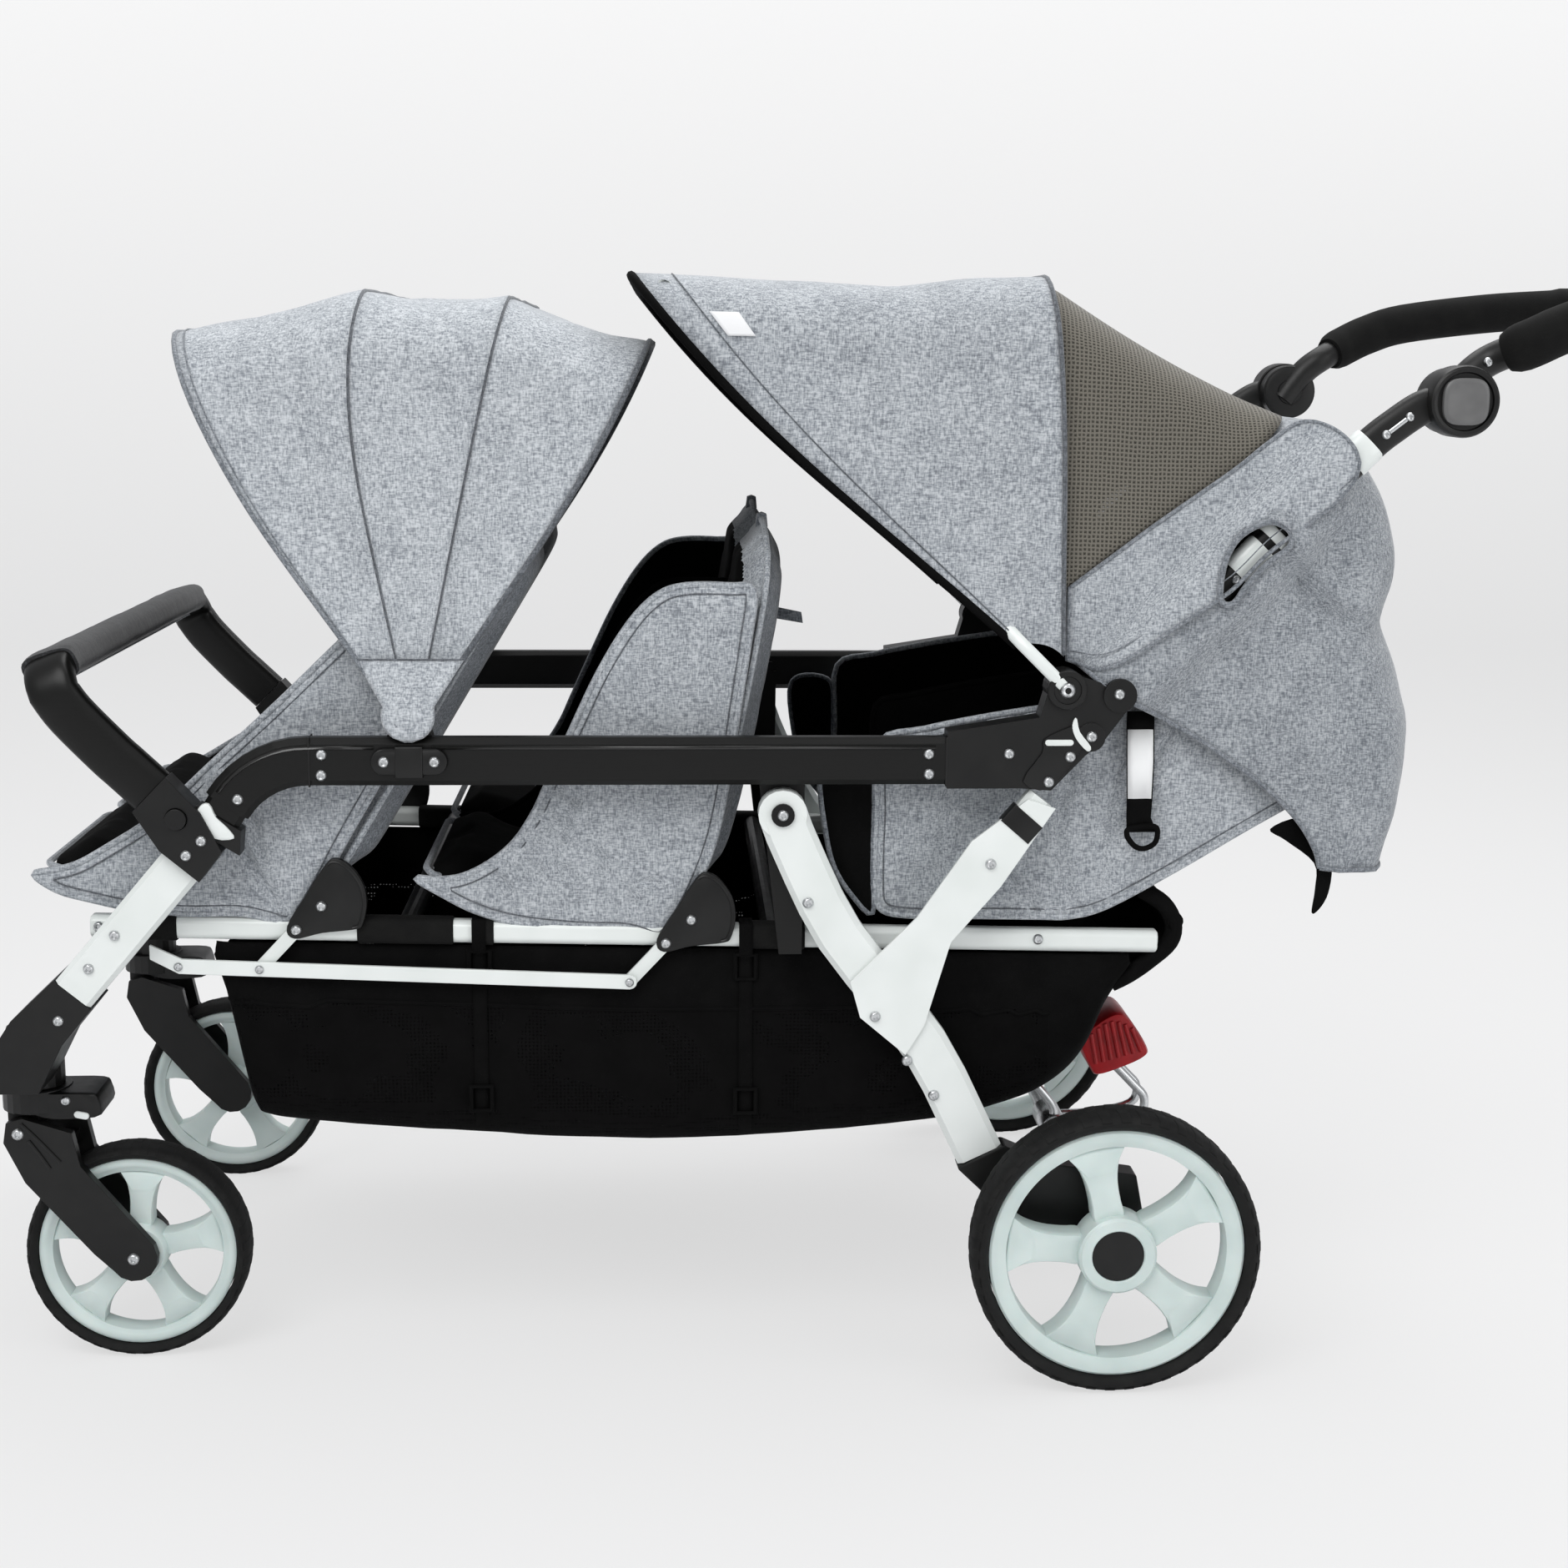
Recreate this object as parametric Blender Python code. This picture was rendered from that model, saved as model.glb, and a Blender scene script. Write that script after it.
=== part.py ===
"""Six-seat stroller: three rows of two seats in a long wheeled frame.

The front is at -X, the handle at +X, the left side at -Y and the floor at Z = 0.
Side views are drawn as (x, z) points with x counted from the rear axle.
"""
import math

import bmesh
import bpy
from mathutils import Vector

# Driving dimensions, in metres
WHEELBASE = 0.862
REAR_WHEEL_RADIUS = 0.127
REAR_TYRE_WIDTH = 0.045
REAR_RIM_RADIUS = 0.1125
FRONT_WHEEL_RADIUS = 0.098
FRONT_TYRE_WIDTH = 0.038
FRONT_RIM_RADIUS = 0.0872
FRAME_HALF_WIDTH = 0.307
RAIL_THICKNESS = 0.020
RAIL_HEIGHT = 0.041
RAIL_Z = 0.551
SEAT_TUBE_FRONT_Z = 0.400
SEAT_TUBE_DROP = 0.020
SEAT_TUBE_SIZE = 0.020
WHEEL_GAP = 0.021
HANDLE_REACH = 0.620
HANDLE_HEIGHT = 0.9495
GRIP_RADIUS = 0.021
HANDLE_HALF_WIDTH = 0.290
FRONT_CANOPY_RADIUS = 0.392
FABRIC = 0.0025
CANOPY_STEP = 0.0035
AXLE_RADIUS = 0.008
CASTER_TRAIL = 0.083
CASTER_HALF_TRACK = 0.238
CASTER_RADIUS = 0.030
FORK_ARM = 0.010
PIN_RADIUS = 0.006
SEAT_WALL = 0.003
SEAT_SLAB = 0.012
BACK_THICKNESS = 0.014
REAR_PAN_SETBACK = 0.012
BASKET_WALL = 0.003
BAR_WIDTH = 0.041
BAR_DEPTH = 0.024
BAR_CORNER = 0.0105
SPIGOT_SCALE = 0.62
SPIGOT_LENGTH = 0.028
BAR_BUTTON_RADIUS = 0.009
BAR_BUTTON_TRAVEL = 0.003
ARM_ANGLE = 225.6
ARM_LENGTH = 0.077
CASTER_HEAD_TOP = 0.305
CASTER_HEAD_LOW = 0.252
GAP = 0.0003
CLEAR = 0.0005
SLIDE_CLEAR = 0.0006

# Places across the width that follow from the sizes above
RAIL_MID_Y = FRAME_HALF_WIDTH - RAIL_THICKNESS / 2
RAIL_INNER = FRAME_HALF_WIDTH - RAIL_THICKNESS
BAR_MID_Y = RAIL_MID_Y - 0.002
SEAT_TUBE_OUTER = RAIL_INNER - 0.021
SEAT_TUBE_INNER = SEAT_TUBE_OUTER - SEAT_TUBE_SIZE
SEAT_HALF_WIDTH = SEAT_TUBE_OUTER - 0.0015
WING_OUTER = SEAT_HALF_WIDTH - SEAT_WALL - SLIDE_CLEAR
PLATE_INNER = SEAT_TUBE_OUTER + CLEAR
PLATE_THICKNESS = 0.005
LINK_INNER = PLATE_INNER + PLATE_THICKNESS + CLEAR
LINK_THICKNESS = 0.004
HANGER_INNER = RAIL_INNER - 0.008
HANGER_OUTER = RAIL_INNER - CLEAR
BRACE_PLATE = 0.0032
BRACE_OUTER = FRAME_HALF_WIDTH + GAP + BRACE_PLATE
JOINT_INNER = RAIL_INNER - 0.003
JOINT_OUTER = FRAME_HALF_WIDTH + 0.005
FOOT_INNER = RAIL_INNER - 0.003
FOOT_OUTER = FRAME_HALF_WIDTH + 0.003
BRACKET_INNER = RAIL_INNER - 0.006
POST_INNER = RAIL_INNER - 0.0058
POST_THICKNESS = 0.020
POST_OUTER = POST_INNER + POST_THICKNESS
REAR_WHEEL_INNER = FRAME_HALF_WIDTH + WHEEL_GAP
REAR_WHEEL_OUTER = REAR_WHEEL_INNER + REAR_TYRE_WIDTH
REAR_WHEEL_MID = (REAR_WHEEL_INNER + REAR_WHEEL_OUTER) / 2
HOOD_HALF_WIDTH = RAIL_INNER + 0.0035
BACK_PANEL_HALF_WIDTH = POST_INNER - CLEAR
FORK_HALF = FRONT_TYRE_WIDTH / 2 + 0.002 + FORK_ARM
BASKET_HALF_WIDTH = SEAT_TUBE_OUTER - 0.004

# Places along the length and height that follow from the sizes above
FRONT_AXLE_X = -WHEELBASE
CASTER_X = FRONT_AXLE_X - CASTER_TRAIL
RAIL_TOP = RAIL_Z + RAIL_HEIGHT / 2
RAIL_BOTTOM = RAIL_Z - RAIL_HEIGHT / 2
RAIL_BEND_X = FRONT_AXLE_X + 0.172
RAIL_BEND_RADIUS = 0.080
RAIL_BEND_ANGLE = 58
RAIL_REAR_X = -0.1505
LEG_PIVOT = (-0.290, RAIL_BOTTOM - 0.0255)
LEG_WIDTH = 0.042
HINGE_A = (-0.049, RAIL_Z + 0.062)
HINGE_B = (-0.003, RAIL_Z + 0.057)
HINGE_C = (-0.027, RAIL_Z + 0.021)
HUB_RADIUS = 0.017
KNOB = (HANDLE_REACH - 0.339, HANDLE_HEIGHT - 0.0925)
KNOB_RADIUS = 0.030
FRONT_APEX = (FRONT_AXLE_X + 0.257, RAIL_TOP - 0.006)
BOSS_RADIUS = 0.020
FRONT_PIVOT = (FRONT_AXLE_X + 0.175, SEAT_TUBE_FRONT_Z + 0.019)
MIDDLE_PIVOT = (-0.368, FRONT_PIVOT[1] - 0.014)
REAR_PIVOT = (-0.035, SEAT_TUBE_FRONT_Z + 0.010)
BAR_JOINT = (FRONT_AXLE_X + 0.0415, RAIL_Z - 0.0265)
BAR_ANGLE = 136
BAR_CREST = (FRONT_AXLE_X - 0.0425, RAIL_Z + 0.077)
FORK_PIVOT = (CASTER_X - 0.011, FRONT_WHEEL_RADIUS + 0.117)
FRONT_END_X = CASTER_X - CASTER_RADIUS
REAR_END_X = HANDLE_REACH + GRIP_RADIUS
ORIGIN_SHIFT = -(FRONT_END_X + REAR_END_X) / 2

SIDES = (("left", -1), ("right", 1))


def material(name, colour, roughness, metallic=0.0):
    """A Principled material with one linear colour."""
    made = bpy.data.materials.new(name)
    made.use_nodes = True
    shader = made.node_tree.nodes["Principled BSDF"]
    shader.inputs["Base Color"].default_value = (*colour, 1.0)
    shader.inputs["Roughness"].default_value = roughness
    shader.inputs["Metallic"].default_value = metallic
    return made


def polar(centre, radius, degrees):
    """A side-view point at a distance and angle from a centre."""
    angle = math.radians(degrees)
    return (centre[0] + radius * math.cos(angle), centre[1] + radius * math.sin(angle))


def arc(centre, radius, start, end, steps):
    """Side-view points on an arc, ends included."""
    return [polar(centre, radius, start + (end - start) * i / steps) for i in range(steps + 1)]


def between(a, b, share):
    """A point part of the way from a to b."""
    return tuple(p + (q - p) * share for p, q in zip(a, b))


def shifted(points, dx, dz):
    """Side-view points moved together."""
    return [(x + dx, z + dz) for x, z in points]


def tube_z(x):
    """Centre height of the sloping lower seat tube."""
    share = (x - (FRONT_AXLE_X - 0.024)) / (WHEELBASE + 0.071)
    return SEAT_TUBE_FRONT_Z - SEAT_TUBE_DROP * share


def tube_top(x):
    """Height just above the lower seat tube."""
    return tube_z(x) + SEAT_TUBE_SIZE / 2 + CLEAR


def tube_bottom(x):
    """Height just below the lower seat tube."""
    return tube_z(x) - SEAT_TUBE_SIZE / 2 - CLEAR


def rounded_section(width, height, corner, steps=1):
    """Cross-section points of a flat-oval or round-cornered bar."""
    points = []
    for quarter, (su, sv) in enumerate(((1, 1), (-1, 1), (-1, -1), (1, -1))):
        centre = (su * (width / 2 - corner), sv * (height / 2 - corner))
        start = quarter * 90
        points += arc(centre, corner, start, start + 90, steps)
    return points


def round_section(radius, count=10):
    """Cross-section points of a round bar."""
    return [polar((0, 0), radius, 360 * i / count) for i in range(count)]


def smooth_path(points, steps):
    """Points on a Catmull-Rom curve through the given 3-D points."""
    line = [Vector(p) for p in points]
    ends = [line[0] * 2 - line[1]] + line + [line[-1] * 2 - line[-2]]
    result = [line[0]]
    for i in range(1, len(ends) - 2):
        a, b, c, d = ends[i - 1:i + 3]
        for k in range(1, steps + 1):
            t = k / steps
            result.append(0.5 * (2 * b + (c - a) * t + (2 * a - 5 * b + 4 * c - d) * t * t
                                 + (3 * b - a - 3 * c + d) * t * t * t))
    return result


def finish_mesh(bm):
    """Turn every face of a closed mesh outwards."""
    bmesh.ops.recalc_face_normals(bm, faces=bm.faces)
    return bm


def plate(points, y0, y1):
    """A side-view outline extruded across the width."""
    bm = bmesh.new()
    face = bm.faces.new([bm.verts.new((x, y0, z)) for x, z in points])
    made = bmesh.ops.extrude_face_region(bm, geom=[face])["geom"]
    moved = [item for item in made if isinstance(item, bmesh.types.BMVert)]
    bmesh.ops.translate(bm, verts=moved, vec=(0, y1 - y0, 0))
    return finish_mesh(bm)


def turned(profile, centre, axis, steps, start=0.0):
    """A turned solid: (radius, height) points round the Y or Z axis through a 3-D centre.

    A profile that starts and ends on the axis gives a solid, any other is closed into a ring.
    """
    bm = bmesh.new()
    rings = []
    for radius, height in profile:
        ring = []
        for i in range(steps if radius > 0 else 1):
            angle = start + 2 * math.pi * i / steps
            a, b = radius * math.cos(angle), radius * math.sin(angle)
            place = (a, height, b) if axis == "Y" else (a, b, height)
            ring.append(bm.verts.new(Vector(centre) + Vector(place)))
        rings.append(ring)
    pairs = list(zip(rings, rings[1:]))
    if profile[0][0] > 0:
        pairs.append((rings[-1], rings[0]))
    for one, two in pairs:
        for i in range(steps):
            j = (i + 1) % steps
            corners = [one[i % len(one)], one[j % len(one)], two[j % len(two)], two[i % len(two)]]
            kept = []
            for corner in corners:
                if corner not in kept:
                    kept.append(corner)
            if len(kept) > 2:
                bm.faces.new(kept)
    return finish_mesh(bm)


def disc(centre, radius, y0, y1, steps=20):
    """A plain round boss across the width at a side-view centre."""
    profile = [(0, y0), (radius, y0), (radius, y1), (0, y1)]
    return turned(profile, (centre[0], 0, centre[1]), "Y", steps)


def post(x, y, z0, z1, radius, steps=20):
    """A plain upright cylinder."""
    profile = [(0, z0), (radius, z0), (radius, z1), (0, z1)]
    return turned(profile, (x, y, 0), "Z", steps)


def sweep(path, section, side=(0, 1, 0), sizes=None):
    """A cross-section carried along a path of 3-D points, with flat ends."""
    path = [Vector(p) for p in path]
    sizes = sizes or [1.0] * len(path)
    bm = bmesh.new()
    rings = []
    side = Vector(side)
    for i, point in enumerate(path):
        behind = next((path[j] for j in range(i - 1, -1, -1) if (path[j] - point).length > 1e-6), point)
        ahead = next((path[j] for j in range(i + 1, len(path)) if (path[j] - point).length > 1e-6), point)
        back = (point - behind).normalized() if behind != point else Vector()
        front = (ahead - point).normalized() if ahead != point else Vector()
        tangent = (back + front).normalized()
        side = (side - tangent * side.dot(tangent)).normalized()
        up = side.cross(tangent)
        stretch = 1.0
        if back.length and front.length:
            stretch = 1 / max(0.5, tangent.dot(front))
        turn = front - back
        across = up * (stretch if abs(turn.dot(up)) > abs(turn.dot(side)) else 1.0)
        over = side * (stretch if abs(turn.dot(up)) <= abs(turn.dot(side)) else 1.0)
        rings.append([bm.verts.new(point + (across * u + over * v) * sizes[i]) for u, v in section])
    count = len(section)
    for one, two in zip(rings, rings[1:]):
        for i in range(count):
            j = (i + 1) % count
            bm.faces.new((one[i], one[j], two[j], two[i]))
    bm.faces.new(rings[0])
    bm.faces.new(rings[-1])
    return finish_mesh(bm)


def hoop_line(low, top, half_width, corner, steps=4):
    """Points of one fabric hoop: up one side, round a corner, across and down again."""
    low, top = Vector((low[0], 0, low[1])), Vector((top[0], 0, top[1]))
    rise = (top - low).normalized()
    corner = min(corner, (top - low).length * 0.8)
    half = [low + Vector((0, -half_width, 0))]
    for i in range(steps + 1):
        angle = math.pi / 2 * i / steps
        out = half_width - corner * (1 - math.cos(angle))
        half.append(top - rise * corner * (1 - math.sin(angle)) + Vector((0, -out, 0)))
    return half + [Vector((p.x, -p.y, p.z)) for p in reversed(half)]


def hoop_sheet(lows, tops, half_width, corner, thickness):
    """A U-shaped sheet of fabric from a row of hoops, as one closed shell."""
    bm = bmesh.new()
    layers = []
    for inset in (0.0, thickness):
        layer = []
        for low, top in zip(lows, tops):
            length = math.dist(low, top)
            inner_top = between(top, low, inset / length)
            line = hoop_line(low, inner_top, half_width - inset, corner - inset)
            layer.append([bm.verts.new(p) for p in line])
        layers.append(layer)
    rows, columns = len(lows), len(layers[0][0])
    for layer in layers:
        for r in range(rows - 1):
            for c in range(columns - 1):
                bm.faces.new((layer[r][c], layer[r][c + 1], layer[r + 1][c + 1], layer[r + 1][c]))
    rim = [(0, c) for c in range(columns)] + [(r, columns - 1) for r in range(1, rows)]
    rim += [(rows - 1, c) for c in range(columns - 2, -1, -1)] + [(r, 0) for r in range(rows - 2, 0, -1)]
    for (r0, c0), (r1, c1) in zip(rim, rim[1:] + rim[:1]):
        bm.faces.new((layers[0][r0][c0], layers[0][r1][c1], layers[1][r1][c1], layers[1][r0][c0]))
    return finish_mesh(bm)


def combine(base, others, operation="UNION"):
    """Join or cut closed meshes with the Boolean modifier and keep the result."""
    def temporary(bm, name):
        mesh = bpy.data.meshes.new(name)
        bm.to_mesh(mesh)
        bm.free()
        made = bpy.data.objects.new(name, mesh)
        bpy.context.scene.collection.objects.link(made)
        return made

    target = temporary(base, "blank")
    tools = [temporary(other, "tool") for other in others]
    for tool in tools:
        modifier = target.modifiers.new("join", "BOOLEAN")
        modifier.operation = operation
        modifier.object = tool
    graph = bpy.context.evaluated_depsgraph_get()
    graph.update()
    mesh = bpy.data.meshes.new_from_object(target.evaluated_get(graph))
    result = bmesh.new()
    result.from_mesh(mesh)
    for made in [target] + tools:
        bpy.data.objects.remove(made)
    bmesh.ops.remove_doubles(result, verts=result.verts, dist=1e-6)
    bmesh.ops.dissolve_degenerate(result, dist=1e-6, edges=result.edges)
    return result


def add(name, bm, finish, parent, origin=(0, 0, 0), smooth=None):
    """Make the named object, with its own origin, under the frame's empty."""
    bmesh.ops.translate(bm, verts=bm.verts, vec=-Vector(origin))
    mesh = bpy.data.meshes.new(name)
    bm.to_mesh(mesh)
    bm.free()
    mesh.materials.append(finish)
    if smooth:
        mesh.shade_smooth()
        mesh.set_sharp_from_angle(angle=math.radians(smooth))
    made = bpy.data.objects.new(name, mesh)
    bpy.context.scene.collection.objects.link(made)
    made.parent = parent
    made.location = origin
    return made


def spread(side, inner, outer):
    """The two Y values of a piece on one side."""
    return side * inner, side * outer


def at(point, y=0.0):
    """A side-view point as a 3-D one."""
    return (point[0], y, point[1])


def build_rails(root, finish):
    """Side rails with the canopy boss, the hanger plate and the rear leg's pin."""
    bend = (RAIL_BEND_X, RAIL_Z - RAIL_BEND_RADIUS)
    line = arc(bend, RAIL_BEND_RADIUS, 90 + RAIL_BEND_ANGLE, 90, 7)
    nose = polar(bend, RAIL_BEND_RADIUS, 90 + RAIL_BEND_ANGLE)
    heading = RAIL_BEND_ANGLE + 180
    tip = polar(nose, 0.011, heading)
    for name, side in SIDES:
        y = side * RAIL_MID_Y
        path = [at(tip, y), at(nose, y)] + [at(p, y) for p in line] + [(RAIL_REAR_X, y, RAIL_Z)]
        sizes = [0.86, 0.86] + [1.0] * (len(path) - 2)
        rail = sweep(path, rounded_section(RAIL_HEIGHT, RAIL_THICKNESS, 0.005), sizes=sizes)
        boss = disc(FRONT_APEX, BOSS_RADIUS, *spread(side, RAIL_INNER - 0.006, RAIL_MID_Y))
        x, z = LEG_PIVOT
        low = tube_z(x) - 0.010
        hanger = plate([(x - 0.022, RAIL_Z), (x + 0.020, RAIL_Z), (x + 0.018, low), (x - 0.002, low)],
                       *spread(side, HANGER_INNER, HANGER_OUTER))
        step = plate([(x - 0.018, RAIL_Z - 0.010), (x + 0.016, RAIL_Z - 0.010),
                      (x + 0.016, RAIL_Z + 0.010), (x - 0.018, RAIL_Z + 0.010)],
                     *spread(side, HANGER_INNER + 0.001, RAIL_MID_Y))
        foot = disc((x + 0.008, tube_z(x + 0.008)), 0.008, *spread(side, PLATE_INNER, HANGER_OUTER - 0.001))
        pin = disc(LEG_PIVOT, PIN_RADIUS, *spread(side, HANGER_INNER + 0.001, FRAME_HALF_WIDTH + 0.002))
        head = disc(LEG_PIVOT, 0.010, *spread(side, FRAME_HALF_WIDTH + GAP, FRAME_HALF_WIDTH + 0.003))
        rail = combine(rail, [boss, hanger, step, foot, pin, head])
        add("rail_" + name, rail, finish, root, smooth=35)


def build_brackets(root, finish):
    """Rear brackets that carry the handle posts and the rear hood's pivots."""
    back = -0.031
    outline = [(RAIL_REAR_X + CLEAR, RAIL_TOP + 0.005), (RAIL_REAR_X + CLEAR, RAIL_BOTTOM - 0.003),
               (-0.086, RAIL_BOTTOM - 0.003), (-0.060, RAIL_BOTTOM - 0.005), (back, RAIL_Z + 0.005),
               (HINGE_C[0] + 0.011, HINGE_C[1] - 0.004), (HINGE_B[0] + 0.013, HINGE_B[1] - 0.005),
               (HINGE_B[0] + 0.008, HINGE_B[1] + 0.012), (HINGE_B[0] - 0.010, HINGE_B[1] + 0.009),
               (HINGE_A[0] + 0.012, HINGE_A[1] + 0.011), (HINGE_A[0] - 0.012, HINGE_A[1] + 0.011),
               (HINGE_A[0] - 0.022, HINGE_A[1] - 0.024)]
    for name, side in SIDES:
        base = plate(outline, *spread(side, BRACKET_INNER, FRAME_HALF_WIDTH))
        hub = disc(HINGE_A, HUB_RADIUS, *spread(side, BRACKET_INNER + 0.001, FRAME_HALF_WIDTH - 0.0005))
        pin = disc(HINGE_A, PIN_RADIUS, *spread(side, BRACKET_INNER + 0.002, FRAME_HALF_WIDTH + 0.0085))
        lobe = disc(HINGE_B, 0.0145, *spread(side, BRACKET_INNER + 0.001, FRAME_HALF_WIDTH + 0.003))
        low = disc(HINGE_C, 0.0125, *spread(side, BRACKET_INNER + 0.0015, FRAME_HALF_WIDTH + 0.002))
        add("rear_bracket_" + name, combine(base, [hub, pin, lobe, low]), finish, root, smooth=35)


def bar_start(step):
    """A point on the front bar's line, counted from the joint's face."""
    return polar(BAR_JOINT, step, BAR_ANGLE)


def build_front_joints(root, black):
    """Front joints: they hold the rail end, the front bar, the leg and a release button."""
    x, z = FRONT_AXLE_X, RAIL_Z
    upper = polar(BAR_JOINT, BAR_WIDTH / 2, BAR_ANGLE - 90)
    lower = polar(BAR_JOINT, BAR_WIDTH / 2, BAR_ANGLE + 90)
    leg_top, leg_low = leg_ends()
    rise = math.degrees(math.atan2(leg_top[1] - leg_low[1], leg_top[0] - leg_low[0]))
    seat = polar(leg_top, CLEAR, rise)
    outline = [upper, (x + 0.083, z - 0.042), (x + 0.100, z - 0.076), polar(seat, 0.021, rise - 90),
               polar(seat, 0.021, rise + 90), lower]
    rail_end = arc((RAIL_BEND_X, RAIL_Z - RAIL_BEND_RADIUS), RAIL_BEND_RADIUS, 90 + RAIL_BEND_ANGLE, 90, 7)[0]
    rail_tip = polar(rail_end, 0.0115, RAIL_BEND_ANGLE + 180)
    for name, side in SIDES:
        body = plate(outline, *spread(side, JOINT_INNER, JOINT_OUTER))
        cheek = plate([polar(rail_tip, r, RAIL_BEND_ANGLE + a) for r, a in
                       ((0.021, 270), (0.021, 90), (0.036, 122), (0.036, 238))],
                      *spread(side, JOINT_INNER + 0.0005, JOINT_OUTER - 0.004))
        body = combine(body, [cheek])
        y = side * BAR_MID_Y
        socket = sweep([at(bar_start(-SPIGOT_LENGTH - 0.001), y), at(bar_start(0.01), y)],
                       rounded_section(BAR_WIDTH * SPIGOT_SCALE + 2 * CLEAR,
                                       BAR_DEPTH * SPIGOT_SCALE + 2 * CLEAR, BAR_CORNER * SPIGOT_SCALE, 2))
        button = polar(BAR_JOINT, 0.030, BAR_ANGLE + 180)
        pocket = disc(button, BAR_BUTTON_RADIUS + GAP,
                      *spread(side, JOINT_OUTER - 0.0075, JOINT_OUTER + 0.01))
        body = combine(body, [socket, pocket], "DIFFERENCE")
        add("front_joint_" + name, body, black, root, smooth=35)
        face = JOINT_OUTER + BAR_BUTTON_TRAVEL
        cap = disc(button, BAR_BUTTON_RADIUS, *spread(side, JOINT_OUTER - 0.004, face))
        add("bar_button_" + name, cap, black, root, origin=at(button, side * face), smooth=35)


def build_front_bar(root, finish):
    """The padded bar across the front seats, with a spigot at each end."""
    near = [bar_start(CLEAR), bar_start(0.030), (FRONT_AXLE_X - 0.022, RAIL_Z + 0.038),
            (FRONT_AXLE_X - 0.036, RAIL_Z + 0.058)]
    bend = 0.026
    arm = [at(p, -BAR_MID_Y) for p in near]
    arm = smooth_path(arm, 2)
    crest = Vector(at(BAR_CREST, -BAR_MID_Y + bend))
    rise = (crest - Vector(at(near[-1], -BAR_MID_Y + bend))).normalized()
    corner = []
    for i in range(5):
        angle = math.pi / 2 * i / 4
        step = rise * (bend * (math.sin(angle) - 1)) + Vector((0, -bend * math.cos(angle), 0))
        corner.append(crest + step)
    half = arm + corner[1:]
    spigot = [Vector(at(bar_start(-SPIGOT_LENGTH), -BAR_MID_Y)), Vector(at(bar_start(CLEAR), -BAR_MID_Y))]
    half = spigot + half
    whole = half + [Vector((p.x, -p.y, p.z)) for p in reversed(half)]
    sizes = [1.0] * len(whole)
    for i in (0, 1, -1, -2):
        sizes[i] = SPIGOT_SCALE
    bar = sweep(whole, rounded_section(BAR_WIDTH, BAR_DEPTH, BAR_CORNER, 2), sizes=sizes)
    add("front_bar", bar, finish, root, origin=at(BAR_JOINT), smooth=50)


def leg_ends():
    """Middle points of the front leg's top and bottom ends."""
    top = (FRONT_AXLE_X + 0.0637, RAIL_Z - 0.0885)
    return top, (FRONT_AXLE_X - 0.0320, RAIL_Z - 0.2010)


def build_front_legs(root, white, black):
    """Front legs with the bush that holds the lower tube, and the caster heads below them."""
    top, bottom = leg_ends()
    bush_x = FRONT_AXLE_X + 0.005
    head_top = CASTER_HEAD_TOP
    head_low = CASTER_HEAD_LOW
    for name, side in SIDES:
        y = side * (RAIL_MID_Y - 0.003)
        path = [at(top, y), at(bottom, y)]
        leg = sweep(path, rounded_section(0.037, RAIL_THICKNESS, 0.004))
        bush = disc((bush_x, tube_z(bush_x)), 0.008, *spread(side, PLATE_INNER, RAIL_INNER))
        add("front_leg_" + name, combine(leg, [bush]), white, root, smooth=35)
        x, z = bottom
        down = math.degrees(math.atan2(z - top[1], x - top[0]))
        a = polar(polar(bottom, CLEAR, down), 0.020, down + 90)
        b = polar(polar(bottom, CLEAR, down), 0.020, down - 90)
        block = plate([b, a, (CASTER_X + 0.040, head_top), (CASTER_X + 0.018, head_low + 0.010),
                       (CASTER_X - 0.015, head_low + 0.010), (CASTER_X - 0.020, head_top - 0.005),
                       (CASTER_X - 0.002, head_top + 0.022)],
                      *spread(side, CASTER_HALF_TRACK, FRAME_HALF_WIDTH - 0.004))
        barrel = post(CASTER_X, side * CASTER_HALF_TRACK, head_low, head_top, 0.024)
        head = combine(block, [barrel])
        bore = post(CASTER_X, side * CASTER_HALF_TRACK, head_low - 0.01, head_low + 0.036, 0.0083, 16)
        add("caster_head_" + name, combine(head, [bore], "DIFFERENCE"), black, root, smooth=35)


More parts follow.
